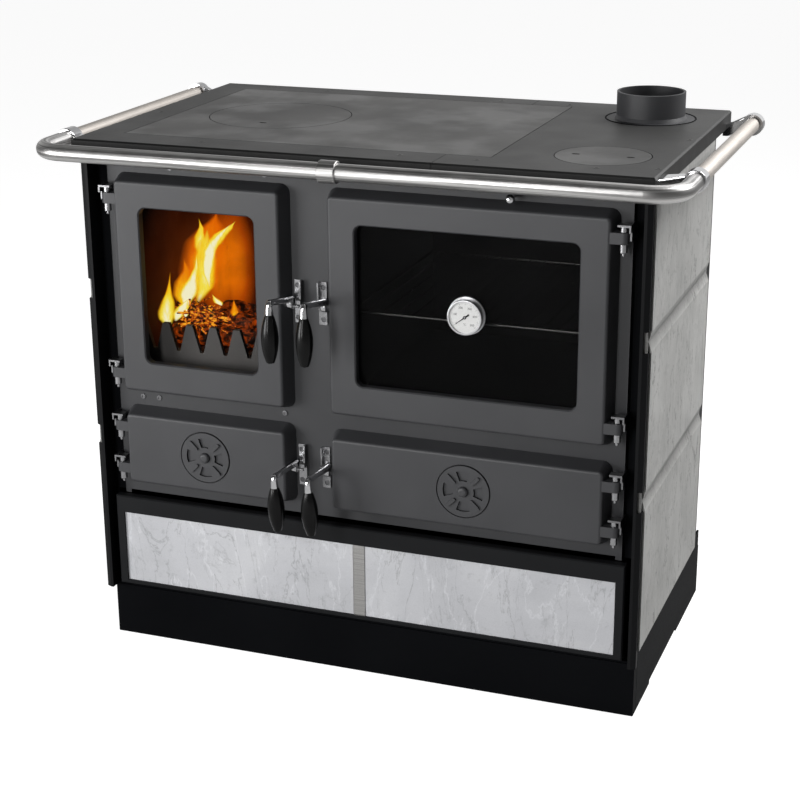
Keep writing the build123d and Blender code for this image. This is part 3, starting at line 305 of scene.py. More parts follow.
slab_stone = soapstone("slab_stone", (0.35, 0.349, 0.339), (0.43, 0.428, 0.416),
                       (0.51, 0.508, 0.495), vein_turn=(28, 0, 0), pale_vein=0.25, dark_vein=1.0,
                       fleck=0.45, joints=SLAB_JOINTS)
tile_stone = soapstone("tile_stone", (0.45, 0.455, 0.473), (0.51, 0.515, 0.537),
                       (0.57, 0.575, 0.594), vein_turn=(0, 38, 0), pale_vein=0.45, dark_vein=0.55,
                       fleck=0.3)
print("stone:", slab_stone.name, tile_stone.name)

# %% [markdown]
# ## Bright metal
# Several bright metals meet on the stove. The rail is stainless tube, ground lengthwise,
# so its highlight is drawn out along the tube, and its side tubes have a duller, warmer
# skin. The levers and the rail's brackets are chrome, near a mirror but never perfectly
# clean. The keepers and hinge pins are zinc, and the hinge brackets plain dark steel.
# Grinding lines follow the tube round its bends, and plain object coordinates don't. So
# the rail's lines are laid out by a distance that is the same all along the tube: how far
# a point lies outside the rounded rectangle that the tube's axis would draw, seen from
# above.

# %% Lines that follow the rail
RAIL_HALF, RAIL_FRONT, RAIL_BEND = 0.499, -0.2891, 0.048


def along_the_rail(tree, place):
    """Coordinates that run round the rail's bends: along, across, up."""
    x, y, z = axes(tree, place)[:3]
    past_side = maths(tree, "SUBTRACT", maths(tree, "ABSOLUTE", x), RAIL_HALF - RAIL_BEND)
    past_front = maths(tree, "SUBTRACT", RAIL_FRONT + RAIL_BEND, y)
    squares = []
    for distance in (past_side, past_front):
        beyond = maths(tree, "MAXIMUM", distance, 0.0)
        squares.append(maths(tree, "MULTIPLY", beyond, beyond))
    joined = add(tree, "CombineXYZ")
    across = maths(tree, "SQRT", maths(tree, "ADD", *squares))
    for value, socket in zip((maths(tree, "SUBTRACT", x, y), across, z), joined.inputs):
        plug(tree, value, socket)
    return joined.outputs[0]


# %% Metals
def bright_metal(name, colour, rough, brush, stretch, depth, low=0.86, lines_on=None, blur=0.2):
    """Brush is the lines in a metre, low their darkest tone, blur how softly they fade."""
    finish, tree, place = new_finish(name)
    ground = lines_on(tree, place) if lines_on else place
    lines = grain(tree, ground, brush, detail=3, rough=0.6, stretch=stretch)
    smears = grain(tree, place, 40, detail=4)
    feed(tree, {
        "Base Color": ramp(tree, lines, [(0.5 - blur, tuple(low * c for c in colour)),
                                         (0.5 + blur, colour)]),
        "Roughness": between(tree, smears, rough * 0.8, rough * 1.3),
        "Normal": relief(tree, lines, depth),
        "Metallic": 1.0})
    return finish


EVEN = (1, 1, 1)
stainless = bright_metal("stainless", (0.60, 0.59, 0.575), 0.24, 420, (0.012, 1, 1), 0.00022, 0.7)
rail_steel = bright_metal("rail_steel", (0.66, 0.65, 0.64), 0.34, 210, (0.008, 1, 1), 0.00035,
                          0.38, lines_on=along_the_rail, blur=0.06)
case_steel = bright_metal("case_steel", (0.50, 0.50, 0.51), 0.30, 500, EVEN, 0.00002)
chrome = bright_metal("chrome", (0.66, 0.66, 0.67), 0.09, 500, EVEN, 0.000008)
zinc = bright_metal("zinc", (0.40, 0.40, 0.41), 0.24, 500, EVEN, 0.00002)
hinge_steel = bright_metal("hinge_steel", (0.22, 0.22, 0.225), 0.32, 500, EVEN, 0.00002)
side_tube_skin = bright_metal("side_tube_skin", (0.52, 0.485, 0.45), 0.56, 600, (1, 0.02, 1),
                              0.00012, 0.8)
screw_steel = bright_metal("screw_steel", (0.16, 0.16, 0.165), 0.32, 900, EVEN, 0.00001)
print("metals:", *(m.name for m in (stainless, rail_steel, case_steel, chrome, zinc, hinge_steel,
                                    side_tube_skin, screw_steel)))

# %% [markdown]
# ## Grips and windows
# The grips are black moulded phenolic, polished, so a clear coat over black is right. A
# stove window is ceramic glass, a few millimetres thick and dark in the mass. It could be
# a refracting shader, but then lamps cast no light through it and the rooms behind stay
# black, so it is a black surface with a low alpha instead: clearer for the fire, darker
# for the oven.

# %% Grips and glass
def phenolic(name):
    finish, tree, place = new_finish(name)
    swirl = grain(tree, place, 90, detail=3)
    feed(tree, {
        "Base Color": ramp(tree, swirl, [(0.3, 0.0025), (0.7, 0.005)]),
        "Roughness": between(tree, swirl, 0.17, 0.26),
        "Specular IOR Level": 0.12,
        "Coat Weight": 0.12,
        "Coat Roughness": 0.14})
    return finish


def window_glass(name, clear, gloss):
    finish, tree, place = new_finish(name)
    haze = grain(tree, place, 12, detail=4)
    feed(tree, {
        "Base Color": ramp(tree, haze, [(0.3, 0.0015), (0.7, 0.0030)]),
        "Roughness": between(tree, haze, 0.02, 0.06),
        "Specular IOR Level": gloss,
        "Alpha": 1.0 - clear})
    return finish


FIRE_CLEAR, OVEN_CLEAR = 0.93, 0.45
grip_black = phenolic("grip_black")
fire_glass = window_glass("fire_glass", FIRE_CLEAR, 0.10)
oven_glass = window_glass("oven_glass", OVEN_CLEAR, 0.06)
print("windows let through", FIRE_CLEAR, OVEN_CLEAR)

# %% [markdown]
# ## Firebrick with its glow
# Brick beside a fire is lit orange. A lamp inside the firebox would do it, but noisily, so
# the firelight is painted on as an emission that fades with distance from the brightest part
# of the wall, on object coordinates. It stays where it is when the camera moves. A second,
# dull red painted glow lies round the flames, and fades out before the firebox's corners.

# %% Firebrick
GLOW_HEART, GLOW_REACH, GLOW_SQUEEZE = Vector((-0.385, 0.140, 0.560)), 0.18, 2.5
FLAME_HEART, FLAME_REACH = Vector((-0.310, -0.020, 0.590)), 0.30


def glow_near(tree, place, heart, reach, squeeze=1.0):
    """1 at the brightest place of a painted glow, 0 beyond its reach, and less reach sideways with
    a squeeze.
    """
    shift = add(tree, "VectorMath", operation="SUBTRACT")
    shift.inputs[1].default_value = heart
    tree.links.new(place, shift.inputs[0])
    narrow = add(tree, "VectorMath", operation="MULTIPLY")
    narrow.inputs[1].default_value = (squeeze, 1.0, 1.0)
    tree.links.new(shift.outputs["Vector"], narrow.inputs[0])
    size = add(tree, "VectorMath", operation="LENGTH")
    tree.links.new(narrow.outputs["Vector"], size.inputs[0])
    return between(tree, size.outputs["Value"], 0.0, 1.0, reach, 0.0, ease="SMOOTHSTEP")


def firebrick(name):
    finish, tree, place = new_finish(name)
    pores = grain(tree, place, 220, detail=5, rough=0.7)
    soot_and_shade = grain(tree, place, 11, detail=4)
    body = ramp(tree, pores, [(0.3, (0.016, 0.009, 0.006)), (0.7, (0.035, 0.022, 0.015))])
    # painted firelight on the wall, brightest at its heart
    near_wall = glow_near(tree, place, GLOW_HEART, GLOW_REACH, GLOW_SQUEEZE)
    fire_glow = ramp(tree, near_wall, [(0.0, (0, 0, 0)), (0.08, (0.012, 0.002, 0.0004)),
                                  (0.30, (0.075, 0.009, 0.0004)), (0.62, (0.50, 0.07, 0.0005)),
                                  (0.88, (0.93, 0.19, 0.001))])
    # a painted dull red glow round the flames
    near_flames = glow_near(tree, place, FLAME_HEART, FLAME_REACH)
    dull = ramp(tree, near_flames, [(0.3, (0, 0, 0)), (0.6, (0.034, 0.005, 0.0005)),
                                    (1.0, (0.11, 0.018, 0.001))])
    flicker = ramp(tree, grain(tree, place, 16, detail=3), [(0.3, 0.55), (0.7, 1.0)])
    feed(tree, {
        "Base Color": darken(tree, body, ramp(tree, soot_and_shade, [(0.35, 0.15), (0.7, 1.0)])),
        "Normal": relief(tree, pores, 0.0006),
        "Emission Color": darken(tree, layer(tree, 1.0, fire_glow, dull, "ADD"), flicker),
        "Emission Strength": 1.0,
        "Roughness": 0.9,
        "Specular IOR Level": 0.05})
    return finish


brick = firebrick("brick")
print("glow reaches", GLOW_REACH, "m from", tuple(round(v, 3) for v in GLOW_HEART))

# %% [markdown]
# ## Dressing the castings
# A casting, sheet or slab whose form is right keeps its own mesh and only takes a finish:
# the material slots of its object are filled. The names on the left are the finishes.

# %% Which finish goes on which node
dress = {
    front_paint: ["fire_door", "ash_door", "oven_door", "storage_door", "flue_spigot"],
    shaded_plate_paint: ["front_plate"],
    rosette_paint: ["ash_door_rosette", "storage_door_rosette"],
    hob_iron: ["top_frame_left", "top_frame_right"],
    plate_iron: ["cooking_plate", "big_lid", "small_lid"],
    grate_iron: ["log_retainer", "fire_grate", "grate_frame", "damper_flap"],
    drawer_paint: ["drawer_front"],
    post_paint: ["front_posts", "rear_posts"],
    black_sheet: ["plinth_front", "plinth_back", "plinth_sides", "base_tray", "side_panels",
                  "back_panel", "drawer_box", "drawer_runners"],
    hot_sheet: ["deck_plate", "firebox_casing", "ash_pan", "storage_box"],
    oven_enamel: ["oven_box"],
    slab_stone: ["left_stone_slabs", "right_stone_slabs"],
    tile_stone: ["drawer_tiles"],
    rail_steel: ["rail_front_tube", "rail_joint_sleeve"],
    stainless: ["oven_rack", "drawer_divider"],
    side_tube_skin: ["rail_side_tubes"],
    zinc: ["latch_keepers", "hinge_pins"],
    hinge_steel: ["hinge_brackets"],
    chrome: ["rail_rear_brackets", "fire_door_lever", "ash_door_lever", "oven_door_lever",
             "storage_door_lever", "rail_front_brackets", "damper_rod"],
    case_steel: ["thermometer_body"],
    grip_black: ["fire_door_grip", "ash_door_grip", "oven_door_grip", "storage_door_grip",
                 "thermometer_needle"],
    fire_glass: ["fire_door_glass"],
    oven_glass: ["oven_door_glass"],
    brick: ["firebricks"],
}


def wear(node, finish):
    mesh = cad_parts[node].data
    mesh.materials.clear()
    mesh.materials.append(finish)


for finish, nodes in dress.items():
    for node in nodes:
        wear(node, finish)
dressed = sorted(n for nodes in dress.values() for n in nodes)
print("dressed", len(dressed), "left bare", sorted(set(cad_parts) - set(dressed)))

# %% [markdown]
# ## Screws
# Small fasteners aren't in the frame. Each is a turned head with a recess for the driver: a
# short cylinder whose rim is bevelled and whose face is inset and pushed in. A boolean
# could cut the recess, but inset and extrude keep the mesh clean and closed. All the
# screws of one kind become one piece, since they never move apart.

# %% A screw head
RIM_BEVEL = 0.22                               # share of the head's height
RECESS_WALL, RECESS_DEPTH = 0.42, 0.6          # shares of its radius and of its height


def highest_face(faces):
    return max(faces, key=lambda f: (f.calc_center_median().z, f.calc_area()))


def screw_head(bm, place, radius, height, facing):
    """A screw at place, its head standing height out along facing."""
    bmesh.ops.create_cone(bm, cap_ends=True, segments=24, radius1=radius, radius2=radius,
                          depth=height)
    bmesh.ops.bevel(bm, geom=list(highest_face(bm.faces).edges), offset=RIM_BEVEL * height,
                    segments=2, profile=0.5, affect="EDGES", material=-1)
    top = highest_face(bm.faces)
    bmesh.ops.inset_individual(bm, faces=[top], thickness=RECESS_WALL * radius)
    pushed = bmesh.ops.extrude_discrete_faces(bm, faces=[top])["faces"]
    bmesh.ops.translate(bm, verts=pushed[0].verts, vec=(0, 0, -RECESS_DEPTH * height))
    turn = Vector(facing).to_track_quat("Z", "Y").to_matrix().to_4x4()
    bmesh.ops.translate(bm, verts=bm.verts, vec=(0, 0, 0.5 * height))
    bmesh.ops.transform(bm, matrix=Matrix.Translation(place) @ turn, verts=bm.verts)


# %% From a bmesh to a piece, and a row of screws
def piece_from(name, bm, finish, body):
    mesh = bpy.data.meshes.new(name)
    bm.to_mesh(mesh)
    bm.free()
    piece = bpy.data.objects.new(name, mesh)
    bpy.context.scene.collection.objects.link(piece)
    mesh.materials.append(finish)
    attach(piece, body)
    print(name, "on", body, len(mesh.polygons), "faces")
    return piece


def pour(bm, whole):
    """Adds a finished bmesh to a larger one."""
    part = bpy.data.meshes.new("part")
    bm.to_mesh(part)
    bm.free()
    whole.from_mesh(part)
    bpy.data.meshes.remove(part)


def screw_row(name, places, radius, height, facing, finish, body):
    whole = bmesh.new()
    for place in places:
        one = bmesh.new()
        screw_head(one, place, radius, height, facing)
        pour(one, whole)
    return piece_from(name, whole, finish, body)


FORWARDS = (0, -1, 0)
PLATE_FACE, KEEPER_SEAT = -0.20715, -0.20835
plate_spots = [(-0.309, 0.806), (-0.150, 0.806), (-0.377, 0.428), (-0.348, 0.428),
               (-0.127, 0.428)]
keeper_spots = [(x, z + side * 0.0255) for x in (-0.09865, -0.05635) for z in (0.614, 0.3465)
                for side in (1, -1)]
screw_row("front_plate_screws", [(x, PLATE_FACE, z) for x, z in plate_spots], 0.0042, 0.0016,
          FORWARDS, screw_steel, "cabinet")
screw_row("keeper_screws", [(x, KEEPER_SEAT, z) for x, z in keeper_spots], 0.0038, 0.0012,
          FORWARDS, screw_steel, "cabinet")

# %% [markdown]
# The hob castings are bolted down through their strips. From above each bolt is a small
# disc, nearly flush, so the same screw head does, turned upwards and sunk a little.

# %% Hob bolts
HOB_TOP, SUNK = 0.850, 0.0004
hob_spots = [(-0.253, -0.207), (0.068, -0.207), (0.186, -0.207), (0.362, -0.205),
             (0.446, -0.186), (0.444, 0.040), (-0.433, 0.008), (-0.370, 0.303),
             (-0.251, 0.289), (0.070, 0.286), (0.191, 0.282)]
screw_row("hob_bolts", [(x, y, HOB_TOP - SUNK) for x, y in hob_spots], 0.0048, 0.0007,
          (0, 0, 1), plate_iron, "cabinet")

# %% [markdown]
# The flue's foot stands in a round seat; its gap gets a painted shadow, a thin black ring:
# one small circle spun all the way round, with the first and last ring merged.

# %% Flue shadow ring
FLUE_CENTRE = (0.346, 0.20485)
SHADOW_RING, SHADOW_CORD = 0.0722, 0.0015


def rope_ring(name, centre, ring, radius, height, finish, body):
    bm = bmesh.new()
    start = bmesh.ops.create_circle(bm, segments=8, radius=radius)["verts"]
    bmesh.ops.rotate(bm, verts=start, matrix=Matrix.Rotation(math.radians(90), 3, "X"))
    bmesh.ops.translate(bm, verts=start, vec=(centre[0] + ring, centre[1], height))
    bmesh.ops.spin(bm, geom=bm.verts[:] + bm.edges[:], cent=(centre[0], centre[1], height),
                   axis=(0, 0, 1), angle=math.tau, steps=72, use_merge=True)
    bmesh.ops.remove_doubles(bm, verts=bm.verts, dist=1e-6)
    bmesh.ops.recalc_face_normals(bm, faces=bm.faces)
    return piece_from(name, bm, finish, body)


# a thin black ring laid in the seam round the flue's foot, a painted shadow of the gap
rope_ring("flue_shadow_ring", FLUE_CENTRE, SHADOW_RING, SHADOW_CORD, HOB_TOP - SUNK, black_sheet, "cabinet")

# %% [markdown]
# The plinth is folded from channels, and a small plate closes each end where two of them
# meet at a corner. A plate is a cube scaled thin, with its edges broken by a bevel.

# %% Plinth end plates
PLINTH_SIDE, PLATE_THICK, PLATE_EDGE = 0.4458, 0.0015, 0.0003
CHANNEL_LOW, CHANNEL_HIGH = 0.0021, 0.0859
channel_ends = [(-0.2090, -0.1913), (0.2540, 0.2717)]


def end_plates():
    bm = bmesh.new()
    for side in (1, -1):
        for front, rear in channel_ends:
            plate = bmesh.ops.create_cube(bm, size=1.0)["verts"]
            bmesh.ops.scale(bm, verts=plate,
                            vec=(PLATE_THICK, rear - front, CHANNEL_HIGH - CHANNEL_LOW))
            middle = (side * (PLINTH_SIDE - PLATE_THICK / 2), (front + rear) / 2,
                      (CHANNEL_LOW + CHANNEL_HIGH) / 2)
            bmesh.ops.translate(bm, verts=plate, vec=middle)
    bmesh.ops.bevel(bm, geom=bm.edges[:], offset=PLATE_EDGE, segments=2, profile=0.5,
                    affect="EDGES", material=-1)
    return piece_from("plinth_end_plates", bm, black_sheet, "cabinet")


end_plates()

# %% [markdown]
# ## The dial
# An oven dial is a white enamelled disc in a deep bezel, printed with a ring of lines and
# plain numbers. Print has no thickness to speak of, but an image isn't needed for it:
# lines are thin bars and the numbers are text made into a mesh, all a twentieth of a
# millimetre high, so they stay sharp at any distance.

# %% Enamel and print
def flat_finish(name, dark, light, rough):
    finish, tree, place = new_finish(name)
    tone = grain(tree, place, 900, detail=2)
    feed(tree, {
        "Base Color": ramp(tree, tone, [(0.3, dark), (0.7, light)]),
        "Roughness": between(tree, tone, rough - 0.03, rough + 0.03)})
    return finish


dial_enamel = flat_finish("dial_enamel", (0.62, 0.62, 0.61), (0.70, 0.70, 0.69), 0.35)
print_ink = flat_finish("print_ink", (0.02, 0.02, 0.022), (0.04, 0.04, 0.042), 0.6)
print("dial:", dial_enamel.name, print_ink.name)

# %% The disc
DIAL = Vector((0.1775, -0.23375, 0.62075))
DIAL_RADIUS, DISC_THICK = 0.0238, 0.0002


def dial_disc():
    bm = bmesh.new()
    bmesh.ops.create_cone(bm, cap_ends=True, segments=72, radius1=DIAL_RADIUS,
                          radius2=DIAL_RADIUS, depth=DISC_THICK)
    bmesh.ops.rotate(bm, verts=bm.verts, matrix=Matrix.Rotation(math.radians(90), 3, "X"))
    bmesh.ops.translate(bm, verts=bm.verts, vec=DIAL - Vector((0, DISC_THICK / 2, 0)))
    return piece_from("dial_disc", bm, dial_enamel, "oven_door")


dial_disc()

# %% [markdown]
# The scale runs clockwise from the lower left to the lower right. So the angle of a mark
# falls as its number grows, and one function places lines and numbers alike.

# %% A line and a number
INK_THICK = 0.00005
INK_FACE = DIAL.y - DISC_THICK - 0.00002       # clear of the disc, so that they don't flicker
FIRST_MARK, LAST_MARK = 217.0, -43.0           # degrees, seen from the front
HIGHEST = 500


def on_dial(angle, radius):
    turn = math.radians(angle)
    return Vector((DIAL.x + radius * math.cos(turn), INK_FACE, DIAL.z + radius * math.sin(turn)))


def dial_line(bm, angle, outer, length, width):
    bar = bmesh.ops.create_cube(bm, size=1.0)["verts"]
    bmesh.ops.scale(bm, verts=bar, vec=(length, INK_THICK, width))
    bmesh.ops.rotate(bm, verts=bar, matrix=Matrix.Rotation(math.radians(-angle), 3, "Y"))
    bmesh.ops.translate(bm, verts=bar, vec=on_dial(angle, outer - length / 2))


def print_number(bm, text, size, middle):
    curve = bpy.data.curves.new("number", "FONT")
    curve.body, curve.size, curve.extrude = text, size, INK_THICK / 2
    curve.align_x = curve.align_y = "CENTER"
    holder = bpy.data.objects.new("number", curve)
    bpy.context.scene.collection.objects.link(holder)
    view = bpy.context.evaluated_depsgraph_get()
    mesh = bpy.data.meshes.new_from_object(holder.evaluated_get(view))
    bpy.data.objects.remove(holder)
    mesh.transform(Matrix.Translation(middle) @ Matrix.Rotation(math.radians(90), 4, "X"))
    bm.from_mesh(mesh)
    bpy.data.meshes.remove(mesh)


# %% The print
LINE_STEPS, LINES_PER_LONG = 50, 5
LINE_RING, NUMBER_RING = 0.0222, 0.0158
LONG_LINE, SHORT_LINE = (0.0026, 0.00042), (0.0014, 0.00022)      # length and width
NUMBER_SIZE, UNIT_SIZE, UNIT_DROP = 0.0046, 0.0040, 0.0105


def dial_print():
    bm = bmesh.new()
    for step in range(LINE_STEPS + 1):
        angle = FIRST_MARK + (LAST_MARK - FIRST_MARK) * step / LINE_STEPS
        dial_line(bm, angle, LINE_RING, *(SHORT_LINE if step % LINES_PER_LONG else LONG_LINE))
    for value in range(0, HIGHEST + 1, 100):
        angle = FIRST_MARK + (LAST_MARK - FIRST_MARK) * value / HIGHEST
        print_number(bm, str(value), NUMBER_SIZE, on_dial(angle, NUMBER_RING))
    print_number(bm, "\u00b0C", UNIT_SIZE, DIAL + Vector((0, INK_FACE - DIAL.y, -UNIT_DROP)))
    return piece_from("dial_print", bm, print_ink, "oven_door")


dial_print()

# %% [markdown]
# ## The fire
# Behind the glass burn a few split logs with kindling on top. The wood is charred: nearly
# black, with cracks that glow. Logs are tapered cylinders pushed about by noise, twigs are
# thin cones with a bend, crossed at random from a fixed seed, so each run is the same.

# %% Charred wood
def charred(name, ember_share):
    """A larger ember share makes the step from dark to glowing sharper, with more of it hot."""
    finish, tree, place = new_finish(name)
    bark = grain(tree, place, 160, detail=5, rough=0.65)
    cracks = grain(tree, place, 90, detail=6, rough=0.7, twist=0.6)
    feed(tree, {
        "Base Color": ramp(tree, bark, [(0.3, (0.008, 0.005, 0.004)),
                                        (0.7, (0.045, 0.026, 0.016))]),
        "Normal": relief(tree, bark, 0.0008),
        "Emission Color": ramp(tree, cracks, [(0.46, (0, 0, 0)),
                                              (0.46 + 0.12 / ember_share, (0.55, 0.07, 0.002)),
                                              (0.46 + 0.26 / ember_share, (1.0, 0.42, 0.02))]),
        "Emission Strength": 1.0,
        "Roughness": 0.95})
    return finish


charred_log = charred("charred_log", 0.45)
charred_twig = charred("charred_twig", 1.9)
print("wood:", charred_log.name, charred_twig.name)

# %% A stick
import random

from mathutils import noise as field


def round_stick(bm, start, end, thick, thin, sides, bend, knots):
    """A tapered stick from start to end, bowed sideways by bend and roughened by knots."""
    start, end = Vector(start), Vector(end)
    along = end - start
    stick = bmesh.new()
    bmesh.ops.create_cone(stick, cap_ends=True, segments=sides, radius1=thick, radius2=thin,
                          depth=along.length)
    long_edges = [e for e in stick.edges
                  if abs(e.verts[0].co.z - e.verts[1].co.z) > 0.5 * along.length]
    bmesh.ops.subdivide_edges(stick, edges=long_edges, cuts=7)
    for vert in stick.verts:
        share = vert.co.z / along.length + 0.5
        out = Vector((vert.co.x, vert.co.y, 0))
        rough = field.noise(vert.co * (0.6 / thick) + start * 40)
        vert.co += out * knots * rough + Vector((bend * math.sin(math.pi * share), 0, 0))
    turn = along.to_track_quat("Z", "Y").to_matrix().to_4x4()
    bmesh.ops.transform(stick, matrix=Matrix.Translation((start + end) / 2) @ turn,
                        verts=stick.verts)
    pour(stick, bm)


# %% Logs and twigs
LOGS = [((-0.376, -0.095, 0.502), (-0.205, -0.070, 0.501), 0.017),     # start, end, radius
        ((-0.372, -0.030, 0.504), (-0.200, -0.010, 0.502), 0.019),
        ((-0.350, 0.050, 0.503), (-0.190, 0.030, 0.502), 0.018),
        ((-0.352, -0.052, 0.532), (-0.238, -0.080, 0.526), 0.011)]
FIRE_SEED, TWIGS = 11, 64
PILE_MIDDLE, PILE_SPREAD = (-0.316, -0.108, 0.540), (0.016, 0.010, 0.008)


def burning_logs():
    bm = bmesh.new()
    for start, end, thick in LOGS:
        round_stick(bm, start, end, thick, 0.86 * thick, sides=18, bend=0.004, knots=0.35)
    return piece_from("burning_logs", bm, charred_log, "cabinet")


def kindling():
    dice = random.Random(FIRE_SEED)
    bm = bmesh.new()
    for _ in range(TWIGS):
        centre = Vector(dice.gauss(m, s) for m, s in zip(PILE_MIDDLE, PILE_SPREAD))
        lean = Vector((dice.uniform(-1, 1), dice.uniform(-0.5, 0.5), dice.uniform(-0.55, 0.55)))
        lean.normalize()
        half = dice.uniform(0.012, 0.030)
        thick = dice.uniform(0.0010, 0.0024)
        round_stick(bm, centre - lean * half, centre + lean * half, thick, 0.6 * thick, sides=6,
                    bend=dice.uniform(-0.003, 0.003), knots=0.2)
    return piece_from("kindling", bm, charred_twig, "cabinet")


burning_logs()
kindling()

# %% [markdown]
# ## Flames
# A flame is light, not a surface, but it still needs a shape. Each tongue is a sphere drawn
# out along a line of listed points, flat towards the back and tapered at the tip. While
# it is shaped, every vertex stores two numbers: how hot it is, hottest along the middle
# and cooler at the rim and the tip, and how much it covers, which falls to nothing at the
# rim. The shader takes the colour from one and the fade from the other, so both belong to
# the flame and don't slide when the camera moves.

# %% Hot gas
def hot_gas(name):
    finish, tree, place = new_finish(name)
    licks = grain(tree, place, 70, detail=4, rough=0.6, stretch=(1.6, 1, 0.45), twist=0.8)
    fire_glow, cover = (add(tree, "Attribute", attribute_name=stored).outputs["Fac"]
                   for stored in ("hotness", "cover"))
    warmth = maths(tree, "MULTIPLY", fire_glow, between(tree, licks, 0.70, 1.32))
    torn = maths(tree, "MULTIPLY", cover, between(tree, licks, 0.55, 1.35))
    feed(tree, {
        "Emission Color": ramp(tree, warmth, [
            (0.0, (0.62, 0.07, 0.001)), (0.25, (0.85, 0.15, 0.001)), (0.42, (0.97, 0.33, 0.004)),
            (0.60, (1.0, 0.62, 0.010)), (0.82, (1.0, 0.82, 0.08)), (1.0, (1.0, 0.95, 0.62))]),
        "Alpha": ramp(tree, torn, [(0.02, 0.0), (0.30, 0.30), (0.55, 0.80), (0.80, 1.0)]),
        "Emission Strength": 1.0,
        "Base Color": (0, 0, 0, 1),
        "Specular IOR Level": 0.0})
    return finish


flame_gas = hot_gas("flame_gas")

# %% [markdown]
# The photograph shows the flames from the front right, so each tongue is flattened square
# to that view: one direction runs across it, the other away. Its points are given from the
# root to the tip, and eased between, so that it sways instead of bending at each point.

# %% A tongue of flame
FACING, FLATNESS = math.radians(20), 0.15
ACROSS = Vector((math.cos(FACING), math.sin(FACING), 0))
AWAY = Vector((-math.sin(FACING), math.cos(FACING), 0))


def along_line(points, share):
    """The place and half width at a share of the way along, smoothly between listed points."""
    reach = share * (len(points) - 1)
    step = min(int(reach), len(points) - 2)
    part = reach - step
    ease = part * part * (3 - 2 * part) * 0.4 + part * 0.6
    return [a + (b - a) * ease for a, b in zip(points[step], points[step + 1])]


def tongue(bm, points, depth, hottest, tip_heat):
    """Points are (x, z, half width) from the root to the tip."""
    floats = bm.verts.layers.float
    fire_glow, cover = (floats.get(name) or floats.new(name) for name in ("hotness", "cover"))
    ball = bmesh.ops.create_uvsphere(bm, u_segments=20, v_segments=36, radius=1.0)["verts"]
    for vert in ball:
        share = math.acos(max(-1.0, min(1.0, -vert.co.z))) / math.pi
        ring = math.hypot(vert.co.x, vert.co.y)
        side, back = (vert.co.x / ring, vert.co.y / ring) if ring > 1e-6 else (0.0, 0.0)
        x, z, half = along_line(points, share)
        half *= min(1.0, 3.5 * share, 2.2 * (1 - share)) ** 0.6
        vert.co = Vector((x, depth, z)) + ACROSS * side * half + AWAY * back * FLATNESS * half
        edge = 1 - abs(side) ** (1.0 + 0.9 * hottest)
        vert[fire_glow] = (hottest + (tip_heat - hottest) * share ** 1.5) * (0.45 + 0.55 * edge)
        thinned = edge ** (1.7 - 0.7 * min(1.0, hottest))
        vert[cover] = thinned * min(1.0, 5 * share) * min(1.0, 2.5 * (1 - share) + 0.3)


# %% The flames
# Each has its depth, the heat at its root, the heat at its tip, and its points.
TONGUES = {
    "halo": (-0.096, 0.36, 0.24, [
        (-0.330, 0.553, 0.034), (-0.326, 0.597, 0.040), (-0.316, 0.635, 0.040),
        (-0.306, 0.668, 0.041), (-0.295, 0.692, 0.034), (-0.288, 0.712, 0.010)]),
    "orange body": (-0.100, 0.62, 0.34, [
        (-0.350, 0.543, 0.018), (-0.353, 0.570, 0.020), (-0.350, 0.593, 0.018),
        (-0.344, 0.612, 0.012), (-0.349, 0.634, 0.001)]),
    "yellow column": (-0.102, 0.86, 0.66, [
        (-0.326, 0.560, 0.018), (-0.3116, 0.587, 0.019), (-0.3105, 0.6154, 0.020),
        (-0.3101, 0.6406, 0.022), (-0.306, 0.663, 0.024), (-0.303, 0.684, 0.012)]),
    "left branch": (-0.104, 0.94, 0.60, [
        (-0.312, 0.632, 0.012), (-0.313, 0.655, 0.014), (-0.315, 0.673, 0.011),
        (-0.312, 0.688, 0.007), (-0.316, 0.703, 0.001)]),
    "right branch": (-0.105, 0.94, 0.74, [
        (-0.302, 0.640, 0.010), (-0.292, 0.662, 0.014), (-0.278, 0.680, 0.013),
        (-0.262, 0.692, 0.010), (-0.250, 0.704, 0.001)]),
    "white core": (-0.107, 1.20, 0.95, [
        (-0.300, 0.590, 0.005), (-0.303, 0.612, 0.009), (-0.301, 0.633, 0.010),
        (-0.297, 0.652, 0.011), (-0.287, 0.669, 0.011), (-0.273, 0.685, 0.009),
        (-0.258, 0.699, 0.001)]),
    "middle": (-0.109, 1.25, 0.80, [
        (-0.344, 0.549, 0.011), (-0.3404, 0.5714, 0.0165), (-0.3345, 0.586, 0.015),
        (-0.330, 0.5987, 0.011), (-0.3216, 0.6225, 0.007), (-0.320, 0.645, 0.001)]),
    "low left": (-0.111, 1.05, 0.95, [
        (-0.363, 0.528, 0.008), (-0.356, 0.542, 0.012), (-0.347, 0.555, 0.013),
        (-0.338, 0.569, 0.004)]),
    "left": (-0.112, 1.02, 0.50, [
        (-0.376, 0.514, 0.015), (-0.379, 0.530, 0.018), (-0.378, 0.546, 0.015),
        (-0.375, 0.560, 0.012), (-0.373, 0.573, 0.008), (-0.371, 0.590, 0.005),
        (-0.368, 0.612, 0.001)]),
    "spark": (-0.114, 1.15, 1.00, [
        (-0.343, 0.538, 0.004), (-0.341, 0.546, 0.005), (-0.340, 0.554, 0.001)]),
    "small right": (-0.112, 1.10, 0.80, [
        (-0.277, 0.563, 0.005), (-0.283, 0.568, 0.008), (-0.289, 0.574, 0.005),
        (-0.294, 0.581, 0.001)]),
    "faint right": (-0.111, 0.55, 0.35, [
        (-0.257, 0.547, 0.009), (-0.255, 0.559, 0.007), (-0.256, 0.576, 0.001)]),
}


def flames():
    bm = bmesh.new()
    for depth, hottest, tip_heat, points in TONGUES.values():
        tongue(bm, points, depth, hottest, tip_heat)
    return piece_from("flames", bm, flame_gas, "cabinet")


flames()

